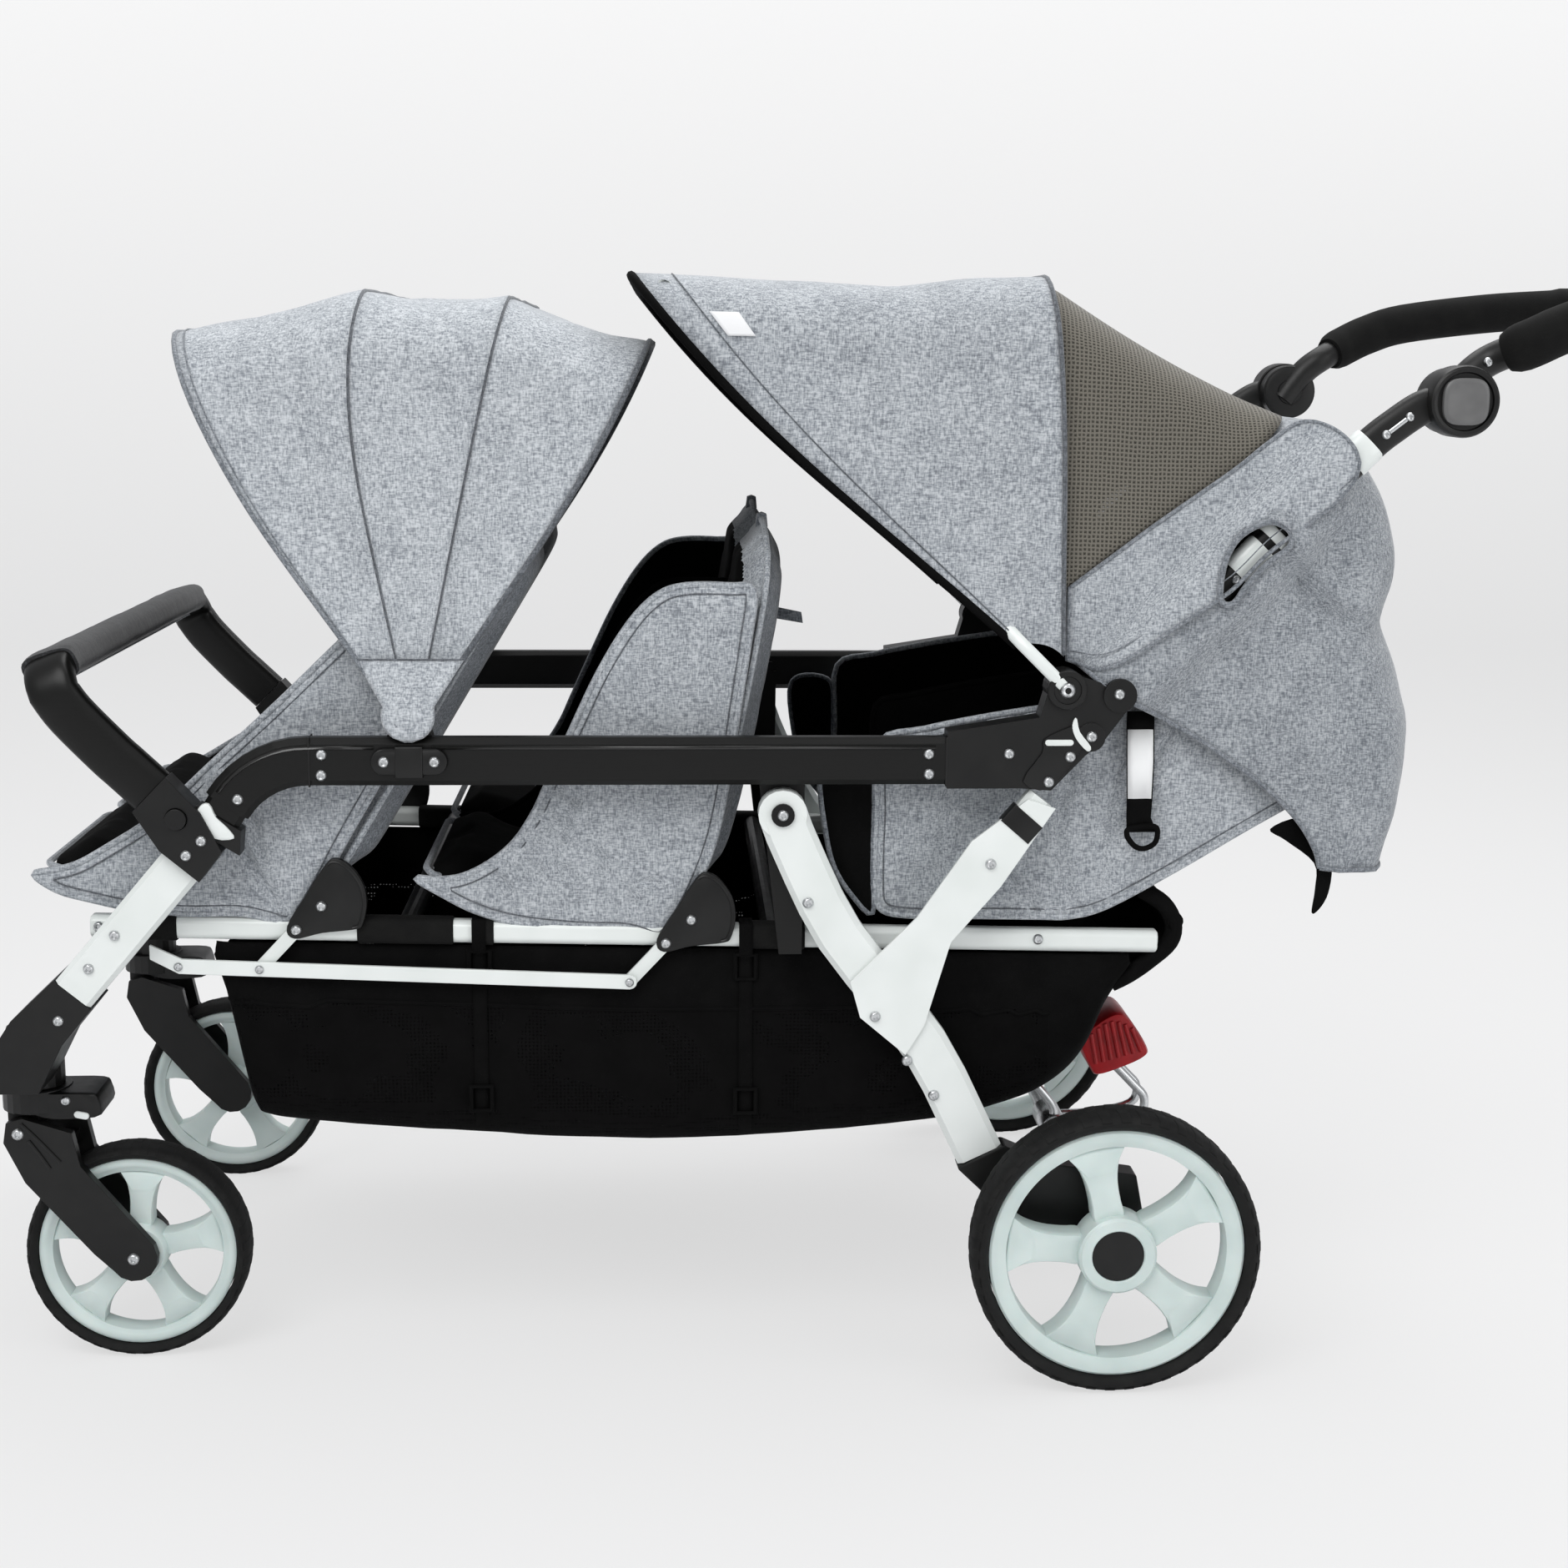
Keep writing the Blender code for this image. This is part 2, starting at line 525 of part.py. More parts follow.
def build_casters(root, black, grey, tyre):
    """Swivelling casters: the swivel, the sprung fork and the wheel."""
    head_low = CASTER_HEAD_LOW
    px, pz = FORK_PIVOT
    axle = (FRONT_AXLE_X, FRONT_WHEEL_RADIUS)
    arm_outline = [(px - 0.013, pz - 0.008), (px - 0.010, pz + 0.010), (px + 0.004, pz + 0.014),
                   (px + 0.046, pz + 0.000), (px + 0.052, pz - 0.030), (px + 0.112, pz - 0.105)]
    arm_outline += arc(axle, 0.021, 5, -150, 6) + [(px + 0.060, pz - 0.112), (px + 0.004, pz - 0.045)]
    bridge_outline = [(px + 0.024, pz - 0.012), (px + 0.040, pz - 0.012), (px + 0.036, pz - 0.030),
                      (px + 0.014, pz - 0.040), (px + 0.008, pz - 0.030)]
    for name, side in SIDES:
        y = side * CASTER_HALF_TRACK
        stem = turned([(0, head_low - 0.015), (0.020, head_low - 0.015), (0.020, head_low - GAP),
                       (0.0080, head_low - GAP), (0.0080, head_low + 0.034), (0, head_low + 0.034)],
                      (CASTER_X, y, 0), "Z", 16)
        collar = post(CASTER_X, y, head_low - 0.020, head_low - GAP, CASTER_RADIUS, 24)
        lug = plate([(px - 0.012, pz - 0.012), (px + 0.010, pz - 0.012), (px + 0.016, pz + 0.020),
                     (px - 0.012, pz + 0.020)], y - 0.016, y + 0.016)
        hole = disc(FORK_PIVOT, PIN_RADIUS + GAP, y - 0.03, y + 0.03, 16)
        swivel = combine(combine(collar, [stem, lug]), [hole], "DIFFERENCE")
        add("caster_swivel_" + name, swivel, black, root, origin=(CASTER_X, y, head_low), smooth=35)
        inner = plate(arm_outline, y - side * FORK_HALF, y - side * (FORK_HALF - FORK_ARM))
        outer = plate(arm_outline, y + side * (FORK_HALF - FORK_ARM), y + side * FORK_HALF)
        bridge = plate(bridge_outline, y - FORK_HALF + 0.001, y + FORK_HALF - 0.001)
        pin = disc(FORK_PIVOT, PIN_RADIUS, y - FORK_HALF + 0.002, y + FORK_HALF - 0.002, 16)
        shaft = disc(axle, AXLE_RADIUS - 0.002, y - FORK_HALF + 0.002, y + FORK_HALF - 0.002, 16)
        add("caster_fork_" + name, combine(inner, [outer, bridge, pin, shaft]), grey, root,
            origin=at(FORK_PIVOT, y), smooth=35)
        add_wheel("front", name, at(axle, y), side, FRONT_RIM_RADIUS, FRONT_WHEEL_RADIUS,
                  FRONT_TYRE_WIDTH, AXLE_RADIUS - 0.002, True, root, tyre)


def add_wheel(row, name, centre, side, rim_radius, radius, width, bore, through, root, finishes):
    """One wheel: a five-spoke rim with its hub, and the tyre on it."""
    rim_finish, tyre_finish = finishes
    steps = 24 if through else 28
    quarter = -math.pi / 2
    depth = 0.007
    rim_half = width * 0.36
    ring = turned([(rim_radius, -rim_half), (rim_radius, rim_half), (rim_radius - depth, rim_half),
                   (rim_radius - depth * 1.6, 0), (rim_radius - depth, -rim_half)],
                  centre, "Y", steps, quarter)
    hub_radius = 0.026 if through else 0.034
    outline = []
    for i in range(5):
        angle = 72 * i + 90
        outline += [polar((0, 0), hub_radius * 0.85, angle - 24), polar((0, 0), rim_radius * 0.55, angle - 12),
                    polar((0, 0), rim_radius - depth * 0.5, angle - 15),
                    polar((0, 0), rim_radius - depth * 0.5, angle + 15),
                    polar((0, 0), rim_radius * 0.55, angle + 18)]
    spokes = plate(shifted(outline, centre[0], centre[2]), centre[1] - width * 0.22, centre[1] + width * 0.22)
    reach = width / 2 - 0.0005
    if through:
        hub = turned([(0, -reach), (hub_radius, -reach), (hub_radius, reach), (0, reach)], centre, "Y", 24)
    else:
        inner = -side * (centre[1] * side - FOOT_OUTER - 0.0008)
        hub = turned([(0, inner), (0.020, inner), (0.022, -side * width * 0.3),
                      (hub_radius, -side * width * 0.25), (hub_radius, side * (reach - 0.004)),
                      (hub_radius - 0.006, side * reach), (0, side * reach)], centre, "Y", 24)
    rim = combine(ring, [spokes, hub])
    x, y, z = centre
    ends = (y - 0.05, y + 0.05) if through else (side * FRAME_HALF_WIDTH, side * (abs(y) + reach - 0.004))
    hole = disc((x, z), bore + GAP, *ends, 16)
    add(row + "_rim_" + name, combine(rim, [hole], "DIFFERENCE"), rim_finish, root, origin=centre, smooth=35)
    seat = rim_radius + GAP
    wall = radius - seat
    profile = [(seat, -rim_half), (seat + wall * 0.50, -width * 0.5), (seat + wall * 0.88, -width * 0.42),
               (radius, -width * 0.22), (radius, width * 0.22), (seat + wall * 0.88, width * 0.42),
               (seat + wall * 0.50, width * 0.5), (seat, rim_half)]
    add(row + "_tyre_" + name, turned(profile, centre, "Y", steps, quarter), tyre_finish, root,
        origin=centre, smooth=35)


def rear_leg_line():
    """Middle line of the curved rear leg, from the pivot to the foot."""
    x, z = LEG_PIVOT
    end = (-0.114, REAR_WHEEL_RADIUS + 0.071)
    spots = ((0.0, 0.0), (0.012, 0.10), (0.050, 0.35), (0.125, 0.67), (0.176, 1.0))
    return [(x + dx * (end[0] - x) / 0.176, z + (end[1] - z) * share) for dx, share in spots]


def build_rear_frame(root, white, black, steel):
    """Folding rear frame: legs, feet, braces and the axle."""
    line = rear_leg_line()
    end = line[-1]
    hub = (0.0, REAR_WHEEL_RADIUS)
    brace_top = (-0.068, RAIL_BOTTOM - 0.012)
    for name, side in SIDES:
        y = side * RAIL_MID_Y
        leg = sweep(smooth_path([at(p, y) for p in line], 3),
                    rounded_section(LEG_WIDTH, RAIL_THICKNESS, 0.005))
        knuckle = disc(LEG_PIVOT, LEG_WIDTH / 2, *spread(side, RAIL_INNER + 0.0002, FRAME_HALF_WIDTH - 0.0002))
        hole = disc(LEG_PIVOT, PIN_RADIUS + GAP, *spread(side, RAIL_INNER - 0.01, FRAME_HALF_WIDTH + 0.01), 24)
        leg = combine(combine(leg, [knuckle]), [hole], "DIFFERENCE")
        add("rear_leg_" + name, leg, white, root, origin=at(LEG_PIVOT, y), smooth=35)
        slope = math.degrees(math.atan2(end[1] - line[-2][1], end[0] - line[-2][0]))
        face = polar(end, CLEAR, slope)
        socket = [polar(face, LEG_WIDTH / 2 + 0.002, slope - 90), polar(face, LEG_WIDTH / 2 + 0.002, slope + 90)]
        outline = [socket[1], (-0.055, hub[1] + 0.064), (0.026, hub[1] + 0.052), (0.034, hub[1] + 0.012)]
        outline += arc(hub, 0.028, 0, -100, 5) + [(-0.060, hub[1] - 0.012), socket[0]]
        foot = plate(outline, *spread(side, FOOT_INNER, FOOT_OUTER))
        bore = disc(hub, AXLE_RADIUS + GAP, *spread(side, FOOT_INNER - 0.01, FOOT_OUTER + 0.01), 16)
        add("rear_leg_foot_" + name, combine(foot, [bore], "DIFFERENCE"), black, root, smooth=35)
        neck = between(brace_top, line[2], 0.22)
        plate_outline = [(brace_top[0] - 0.012, brace_top[1]), (brace_top[0] + 0.012, brace_top[1] - 0.008),
                         (neck[0] + 0.004, neck[1] - 0.050), (-0.144, 0.393), (-0.166, 0.318), (-0.182, 0.292),
                         (-0.222, 0.326), (-0.231, 0.358), (-0.174, 0.415), (neck[0] - 0.022, neck[1] - 0.010)]
        cover = plate(plate_outline, *spread(side, FRAME_HALF_WIDTH + GAP, BRACE_OUTER))
        low = between(brace_top, (-0.160, 0.400), 0.85)
        strut = sweep([at(brace_top, y), at(low, y)], rounded_section(0.024, RAIL_THICKNESS, 0.005))
        tie = sweep([at(between(brace_top, low, 0.1), side * (FRAME_HALF_WIDTH - 0.004)),
                     at(between(brace_top, low, 0.9), side * (FRAME_HALF_WIDTH - 0.004))],
                    rounded_section(0.010, 0.010, 0.002))
        add("leg_brace_" + name, combine(cover, [tie, strut]), white, root, smooth=35)
    reach = REAR_WHEEL_OUTER - 0.005
    axle = disc(hub, AXLE_RADIUS, -reach, reach, 16)
    add("rear_axle", axle, steel, root, origin=at(hub), smooth=35)


def build_rear_wheels(root, finishes):
    """Rear wheels on the ends of the axle."""
    for name, side in SIDES:
        centre = (0.0, side * REAR_WHEEL_MID, REAR_WHEEL_RADIUS)
        add_wheel("rear", name, centre, side, REAR_RIM_RADIUS, REAR_WHEEL_RADIUS, REAR_TYRE_WIDTH,
                  AXLE_RADIUS, False, root, finishes)


def build_brake_pedal(root, finish):
    """Foot brake: a sleeve on the axle, an arm and a tread."""
    x, z = 0.0, REAR_WHEEL_RADIUS
    y = 0.0
    sleeve = turned([(AXLE_RADIUS + GAP, -0.030), (0.014, -0.030), (0.014, 0.030), (AXLE_RADIUS + GAP, 0.030)],
                    (x, y, z), "Y", 20)
    arm = plate([(x + 0.012, z + 0.004), (x + 0.006, z + 0.012), (x + 0.054, z + 0.082), (x + 0.066, z + 0.076)],
                y - 0.008, y + 0.008)
    tread = plate([(x + 0.040, z + 0.082), (x + 0.043, z + 0.092), (x + 0.088, z + 0.080),
                   (x + 0.086, z + 0.070)], y - 0.034, y + 0.034)
    pedal = combine(tread, [arm, sleeve])
    add("brake_pedal", pedal, finish, root, origin=(x, y, z), smooth=35)


def build_lower_tubes(root, white, black):
    """Lower seat tubes and the two cross tubes that tie them."""
    front, rear = FRONT_AXLE_X - 0.024, 0.047
    mid = (SEAT_TUBE_INNER + SEAT_TUBE_OUTER) / 2
    for name, side in SIDES:
        y = side * mid
        tube = sweep([(front, y, tube_z(front)), (rear, y, tube_z(rear))],
                     rounded_section(SEAT_TUBE_SIZE, SEAT_TUBE_SIZE, 0.004))
        add("seat_tube_" + name, tube, white, root, smooth=35)
    for name, x in (("front", FRONT_AXLE_X + 0.245), ("rear", -0.297)):
        reach = SEAT_TUBE_INNER - CLEAR
        add(name + "_cross_tube", disc((x, tube_z(x)), 0.009, -reach, reach, 16), black, root, smooth=35)


def lever_end(pivot):
    """Where a hinge plate's arm meets the link bar."""
    return polar(pivot, ARM_LENGTH, ARM_ANGLE)


def build_link_bars(root, finish):
    """Flat bars that make the front and middle backs fold together."""
    first, second = lever_end(FRONT_PIVOT), lever_end(MIDDLE_PIVOT)
    half = 0.0065
    kink = (first[0] - 0.069, first[1] + 0.003)
    start = (kink[0] - 0.024, kink[1] + 0.013)
    outline = [(start[0], start[1] + half), (start[0], start[1] - half), (kink[0], kink[1] - half),
               (first[0], first[1] - half), (second[0], second[1] - half)]
    outline += arc(second, half, -60, 60, 4)
    outline += [(second[0], second[1] + half), (first[0], first[1] + half), (kink[0] + 0.003, kink[1] + half)]
    for name, side in SIDES:
        bar = plate(outline, *spread(side, LINK_INNER, LINK_INNER + LINK_THICKNESS))
        add("link_bar_" + name, bar, finish, root, origin=at(first, side * LINK_INNER))


def pan_rows():
    """Side-view outlines of each row: wall of the seat pan, and its slab."""
    fx = FRONT_AXLE_X
    front_wall = [(fx - 0.052, tube_top(fx) + 0.036), (fx - 0.020, tube_top(fx) + 0.017),
                  (fx + 0.054, tube_top(fx + 0.054)), (fx + 0.140, tube_top(fx + 0.140)),
                  (fx + 0.142, tube_top(fx) + 0.044), (fx + 0.115, tube_top(fx) + 0.092),
                  (fx + 0.070, tube_top(fx) + 0.112), (fx + 0.014, tube_top(fx) + 0.082)]
    mx = MIDDLE_PIVOT[0]
    middle_wall = [(mx - 0.235, tube_top(mx) + 0.043), (mx - 0.195, tube_top(mx) + 0.016),
                   (mx - 0.140, tube_top(mx - 0.140)), (mx - 0.033, tube_top(mx - 0.033)),
                   (mx - 0.031, tube_top(mx) + 0.044), (mx - 0.068, tube_top(mx) + 0.096),
                   (mx - 0.118, tube_top(mx) + 0.112), (mx - 0.190, tube_top(mx) + 0.074)]
    rx = REAR_PIVOT[0]
    rear_end = rx - REAR_PAN_SETBACK
    rear_wall = [(rx - 0.179, tube_top(rx - 0.179)), (rear_end, tube_top(rear_end)),
                 (rx - 0.008, tube_top(rx) + 0.034), (rx - 0.045, tube_top(rx) + 0.105),
                 (rx - 0.085, tube_top(rx) + 0.160), (rx - 0.115, tube_top(rx) + 0.172),
                 (rx - 0.169, tube_top(rx) + 0.120)]
    slab_front = front_wall[:4] + [(front_wall[3][0], front_wall[3][1] + SEAT_SLAB),
                                   (front_wall[2][0], front_wall[2][1] + SEAT_SLAB),
                                   (front_wall[1][0] + 0.004, front_wall[1][1] + SEAT_SLAB),
                                   (front_wall[0][0] + 0.004, front_wall[0][1] + 0.010)]
    slab_middle = middle_wall[:4] + [(middle_wall[3][0], middle_wall[3][1] + SEAT_SLAB),
                                     (middle_wall[2][0], middle_wall[2][1] + SEAT_SLAB),
                                     (middle_wall[1][0] + 0.004, middle_wall[1][1] + SEAT_SLAB),
                                     (middle_wall[0][0] + 0.004, middle_wall[0][1] + 0.010)]
    slab_rear = rear_wall[:2] + [(rear_wall[1][0], rear_wall[1][1] + SEAT_SLAB * 1.5),
                                 (rear_wall[0][0], rear_wall[0][1] + SEAT_SLAB * 1.5)]
    return (("front", front_wall, slab_front), ("middle", middle_wall, slab_middle),
            ("rear", rear_wall, slab_rear))


def build_seat_pans(root, finish):
    """Seat pans: each row is one sewn pan with a wall at each side and one between the two seats."""
    for row, wall, slab in pan_rows():
        inset = 0.0002
        base = plate(slab, -SEAT_HALF_WIDTH + inset, SEAT_HALF_WIDTH - inset)
        walls = [plate(wall, SEAT_HALF_WIDTH - SEAT_WALL, SEAT_HALF_WIDTH),
                 plate(wall, -SEAT_HALF_WIDTH, -SEAT_HALF_WIDTH + SEAT_WALL),
                 plate(wall, -SEAT_WALL, SEAT_WALL)]
        add(row + "_seat_pan", combine(base, walls), finish, root)


def back_rows():
    """Each row's back: pivot, angle, length of the panel, and the wing's outline round the pivot."""
    front_wing = [(0.003, 0.030), (0.075, 0.135), (0.133, 0.225), (0.192, 0.311), (0.150, 0.330),
                  (0.100, 0.300), (0.010, 0.215), (-0.040, 0.150), (-0.045, 0.080)]
    middle_wing = [(0.004, 0.030), (0.030, 0.070), (0.069, 0.200), (0.073, 0.318), (0.054, 0.355),
                   (0.030, 0.340), (0.012, 0.288), (-0.060, 0.215), (-0.075, 0.160), (-0.062, 0.098)]
    rear_wing = [(0.028, 0.018), (0.192, 0.112), (0.268, 0.152), (0.262, 0.190), (0.175, 0.190),
                 (0.065, 0.150), (0.022, 0.090)]
    return (("front", FRONT_PIVOT, 59.0, 0.366, front_wing), ("middle", MIDDLE_PIVOT, 77.0, 0.350, middle_wing),
            ("rear", REAR_PIVOT, 30.0, 0.300, rear_wing))


def build_seat_backs(root, grey):
    """Six seat backs: a panel with a wing at each side; the front and middle ones carry a hinge plate."""
    for row, pivot, angle, length, wing in back_rows():
        start = 0.006 if row == "rear" else 0.028
        foot, top = polar(pivot, start, angle), polar(pivot, length, angle)
        panel = [polar(foot, BACK_THICKNESS / 2, angle - 90), polar(top, BACK_THICKNESS / 2, angle - 90),
                 polar(top, BACK_THICKNESS / 2, angle + 90), polar(foot, BACK_THICKNESS / 2, angle + 90)]
        outline = shifted(wing, *pivot)
        for name, side in SIDES:
            inner = SEAT_WALL + SLIDE_CLEAR
            seat = plate(panel, side * (inner + 0.0005), side * (WING_OUTER - 0.0005))
            pieces = [plate(outline, side * inner, side * (inner + SEAT_WALL)),
                      plate(outline, side * (WING_OUTER - SEAT_WALL), side * WING_OUTER)]
            if row != "rear":
                end = lever_end(pivot)
                arm = [polar(end, 0.006, ARM_ANGLE + 60), polar(end, 0.006, ARM_ANGLE - 60)]
                quadrant = shifted([(-0.028, -0.016), (0.010, 0.038), (0.026, 0.038), (0.038, 0.016),
                                    (0.037, -0.006), (0.030, -0.020), (-0.022, -0.030)], *pivot)
                hinge = plate(quadrant + arm, *spread(side, PLATE_INNER, PLATE_INNER + PLATE_THICKNESS))
                knee = (pivot[0] + 0.016, pivot[1] + 0.026)
                stub = disc(knee, 0.008, *spread(side, WING_OUTER - 0.001, PLATE_INNER + 0.001), 16)
                pieces += [hinge, stub]
            else:
                roll = REAR_PAN_SETBACK - GAP
                pieces.append(disc(pivot, roll, side * (inner + 0.001), side * (WING_OUTER - 0.001), 16))
            back = combine(seat, pieces)
            add(row + "_seat_back_" + name, back, grey, root, origin=at(pivot, side * SEAT_HALF_WIDTH / 2))


def build_front_canopy(root, finish):
    """Three nested fabric gores that fan out round the boss on each rail."""
    edges = (119.5, 99.0, 78.2, 58.8)
    for i, name in enumerate(("front", "middle", "rear")):
        start, end = edges[i], edges[i + 1]
        angles = [start + (end - start) * k / 3 for k in range(4)]
        radius = FRONT_CANOPY_RADIUS - i * CANOPY_STEP
        lows = [polar(FRONT_APEX, BOSS_RADIUS + CLEAR, a) for a in angles]
        tops = [polar(FRONT_APEX, radius, a) for a in angles]
        gore = hoop_sheet(lows, tops, HOOD_HALF_WIDTH - i * CANOPY_STEP, 0.060, FABRIC)
        add("front_canopy_" + name, gore, finish, root, origin=at(FRONT_APEX), smooth=40)


def hood_radius(degrees):
    """Reach of the rear hood from its pivot: long at the front edge, shorter at the back."""
    share = (degrees - 93.0) / 44.0
    return 0.345 + 0.030 * share + 0.129 * share ** 3


def build_rear_hood(root, grey, mesh_finish):
    """Rear hood: a gore on a bow that folds back, a mesh window, and the panel behind the rear seats."""
    angles = [137.0, 126.0, 115.0, 104.0, 93.0]
    lows = [polar(HINGE_A, 0.045, a) for a in angles]
    tops = [polar(HINGE_A, hood_radius(a), a) for a in angles]
    gore = hoop_sheet(lows, tops, HOOD_HALF_WIDTH, 0.060, FABRIC)
    reach = hood_radius(137.0) - 0.006
    bow_y = HOOD_HALF_WIDTH - FABRIC - 0.004
    pivot_y = FRAME_HALF_WIDTH + 0.0038
    angle = 135.2
    half = [at(polar(HINGE_A, 0.0, angle), -pivot_y), at(polar(HINGE_A, 0.030, angle), -pivot_y),
            at(polar(HINGE_A, 0.075, angle), -bow_y), at(polar(HINGE_A, reach - 0.055, angle), -bow_y)]
    for i in range(1, 5):
        turn = math.pi / 2 * i / 4
        half.append(at(polar(HINGE_A, reach - 0.055 * (1 - math.sin(turn)), angle),
                       -(bow_y - 0.055 * (1 - math.cos(turn)))))
    bow = sweep([Vector(p) for p in half] + [Vector((p[0], -p[1], p[2])) for p in reversed(half)],
                rounded_section(0.012, 0.006, 0.0028))
    eyes = [disc(HINGE_A, HUB_RADIUS, *spread(side, FRAME_HALF_WIDTH + CLEAR, FRAME_HALF_WIDTH + 0.0062))
            for side in (-1, 1)]
    holes = [disc(HINGE_A, PIN_RADIUS + GAP, *spread(side, FRAME_HALF_WIDTH - 0.002, FRAME_HALF_WIDTH + 0.02), 24)
             for side in (-1, 1)]
    hood = combine(combine(gore, [bow] + eyes), holes, "DIFFERENCE")
    add("rear_hood", hood, grey, root, origin=at(HINGE_A), smooth=40)
    corner = (HINGE_A[0] + 0.188, HINGE_A[1] + 0.230)
    bow_foot, bow_top = (HINGE_A[0] - 0.003, HINGE_A[1] + 0.090), (HINGE_A[0] - 0.017, HINGE_A[1] + 0.336)
    last = between(corner, bow_foot, 0.12)
    shares = (0.0, 0.3, 0.6, 0.85, 1.0)
    lows = [between(bow_foot, last, s) for s in shares]
    tops = [between(bow_top, corner, s) for s in shares]
    window = hoop_sheet(lows, tops, BACK_PANEL_HALF_WIDTH, 0.060, FABRIC)
    add("rear_hood_mesh", window, mesh_finish, root, smooth=40)
    seam = math.degrees(math.atan2(corner[1] - bow_foot[1], corner[0] - bow_foot[0]))
    lows = [polar(polar(bow_foot, 0.010, seam), GAP, seam - 90)]
    tops = [polar(corner, GAP, seam - 90)]
    lows += shifted([(0.019, 0.037), (0.047, -0.003), (0.124, -0.053), (0.197, -0.100),
                     (0.224, -0.128), (0.241, -0.152)], *HINGE_A)
    tops += shifted([(0.254, 0.209), (0.276, 0.150), (0.290, 0.089), (0.312, -0.034),
                     (0.311, -0.100), (0.290, -0.160)], *HINGE_A)
    panel = hoop_sheet(lows, tops, BACK_PANEL_HALF_WIDTH, 0.060, FABRIC)
    add("rear_panel", panel, grey, root, smooth=40)


def build_handle(root, white, foam, black):
    """Handle posts, the tilting grip between them and its two release buttons."""
    start = (HINGE_B[0] + 0.013, HINGE_B[1] + 0.013)
    bend = (KNOB[0] - 0.076, KNOB[1] - 0.038)
    spacer = POST_OUTER + 0.0008
    rim_face = POST_OUTER + 0.010
    for name, side in SIDES:
        y = side * (POST_INNER + POST_OUTER) / 2
        path = smooth_path([at(start, y), at(between(start, bend, 0.5), y), at(bend, y),
                            at(between(bend, KNOB, 0.75), y)], 2)
        tube = sweep(path, rounded_section(0.030, POST_THICKNESS, 0.006))
        hub = disc(KNOB, KNOB_RADIUS, *spread(side, POST_INNER + 0.0002, rim_face))
        pocket = disc(KNOB, KNOB_RADIUS - 0.004, *spread(side, POST_OUTER, rim_face + 0.01))
        bore = disc(KNOB, AXLE_RADIUS + GAP, *spread(side, POST_INNER - 0.01, rim_face), 16)
        post_body = combine(combine(tube, [hub]), [pocket, bore], "DIFFERENCE")
        add("handle_post_" + name, post_body, white, root, smooth=35)
        cap = disc(KNOB, KNOB_RADIUS - 0.004 - GAP, *spread(side, spacer + 0.004, rim_face + 0.005))
        add("handle_button_" + name, cap, black, root, origin=at(KNOB, side * rim_face), smooth=35)
    hub_outer = POST_INNER - CLEAR
    hub_inner = hub_outer - 0.020
    hub_mid = (hub_outer + hub_inner) / 2
    x, z = KNOB
    top = HANDLE_HEIGHT
    end = HANDLE_REACH
    wide = HANDLE_HALF_WIDTH
    bend = 0.045
    neck_y = -(hub_outer - 0.0145)
    neck = [(x, neck_y, z), (x + 0.019, neck_y, z + 0.024), (x + 0.036, neck_y - 0.001, z + 0.038)]
    side_run = [(x + 0.062, -wide + 0.006, top - 0.042), (x + 0.120, -wide, top - 0.0205),
                (end - 0.120, -wide, top - 0.0075), (end - bend, -wide, top - 0.002)]
    run = smooth_path(neck + side_run, 2)
    for i in range(1, 5):
        turn = math.pi / 2 * i / 4
        run.append(Vector((end - bend * (1 - math.sin(turn)), -wide + bend * (1 - math.cos(turn)), top)))
    whole = run + [Vector((p.x, -p.y, p.z)) for p in reversed(run)]
    sizes = [1.0] * len(whole)
    for i in range(4):
        sizes[i] = 0.66
        sizes[-1 - i] = 0.66
    grip = sweep(whole, round_section(GRIP_RADIUS), sizes=sizes)
    hubs = [disc(KNOB, KNOB_RADIUS - 0.002, *spread(side, hub_inner, hub_outer)) for side in (-1, 1)]
    pins = [disc(KNOB, AXLE_RADIUS, *spread(side, hub_mid, POST_OUTER - 0.001), 16) for side in (-1, 1)]
    add("handle_grip", combine(grip, hubs + pins), foam, root, origin=at(KNOB), smooth=40)


def build_basket(root, finish):
    """Storage basket hung under the lower tubes, open at the top."""
    front, rear = FRONT_AXLE_X + 0.083, 0.040
    low = [(FRONT_AXLE_X + 0.121, 0.223), (-0.405, 0.194), (-0.142, 0.209), (-0.045, 0.249), (0.012, 0.335)]
    outline = [(front, tube_bottom(front))] + low + [(rear, tube_bottom(rear))]
    wall = BASKET_WALL
    inner = [(front + wall, tube_bottom(front) + 0.02), (low[0][0] + wall, low[0][1] + wall),
             (low[1][0], low[1][1] + wall), (low[2][0], low[2][1] + wall),
             (low[3][0] - wall * 0.6, low[3][1] + wall), (low[4][0] - wall, low[4][1] + wall * 0.6),
             (rear - wall, tube_bottom(rear) + 0.02)]
    shell = plate(outline, -BASKET_HALF_WIDTH, BASKET_HALF_WIDTH)
    hollow = plate(inner, -BASKET_HALF_WIDTH + wall, BASKET_HALF_WIDTH - wall)
    add("basket", combine(shell, [hollow], "DIFFERENCE"), finish, root)


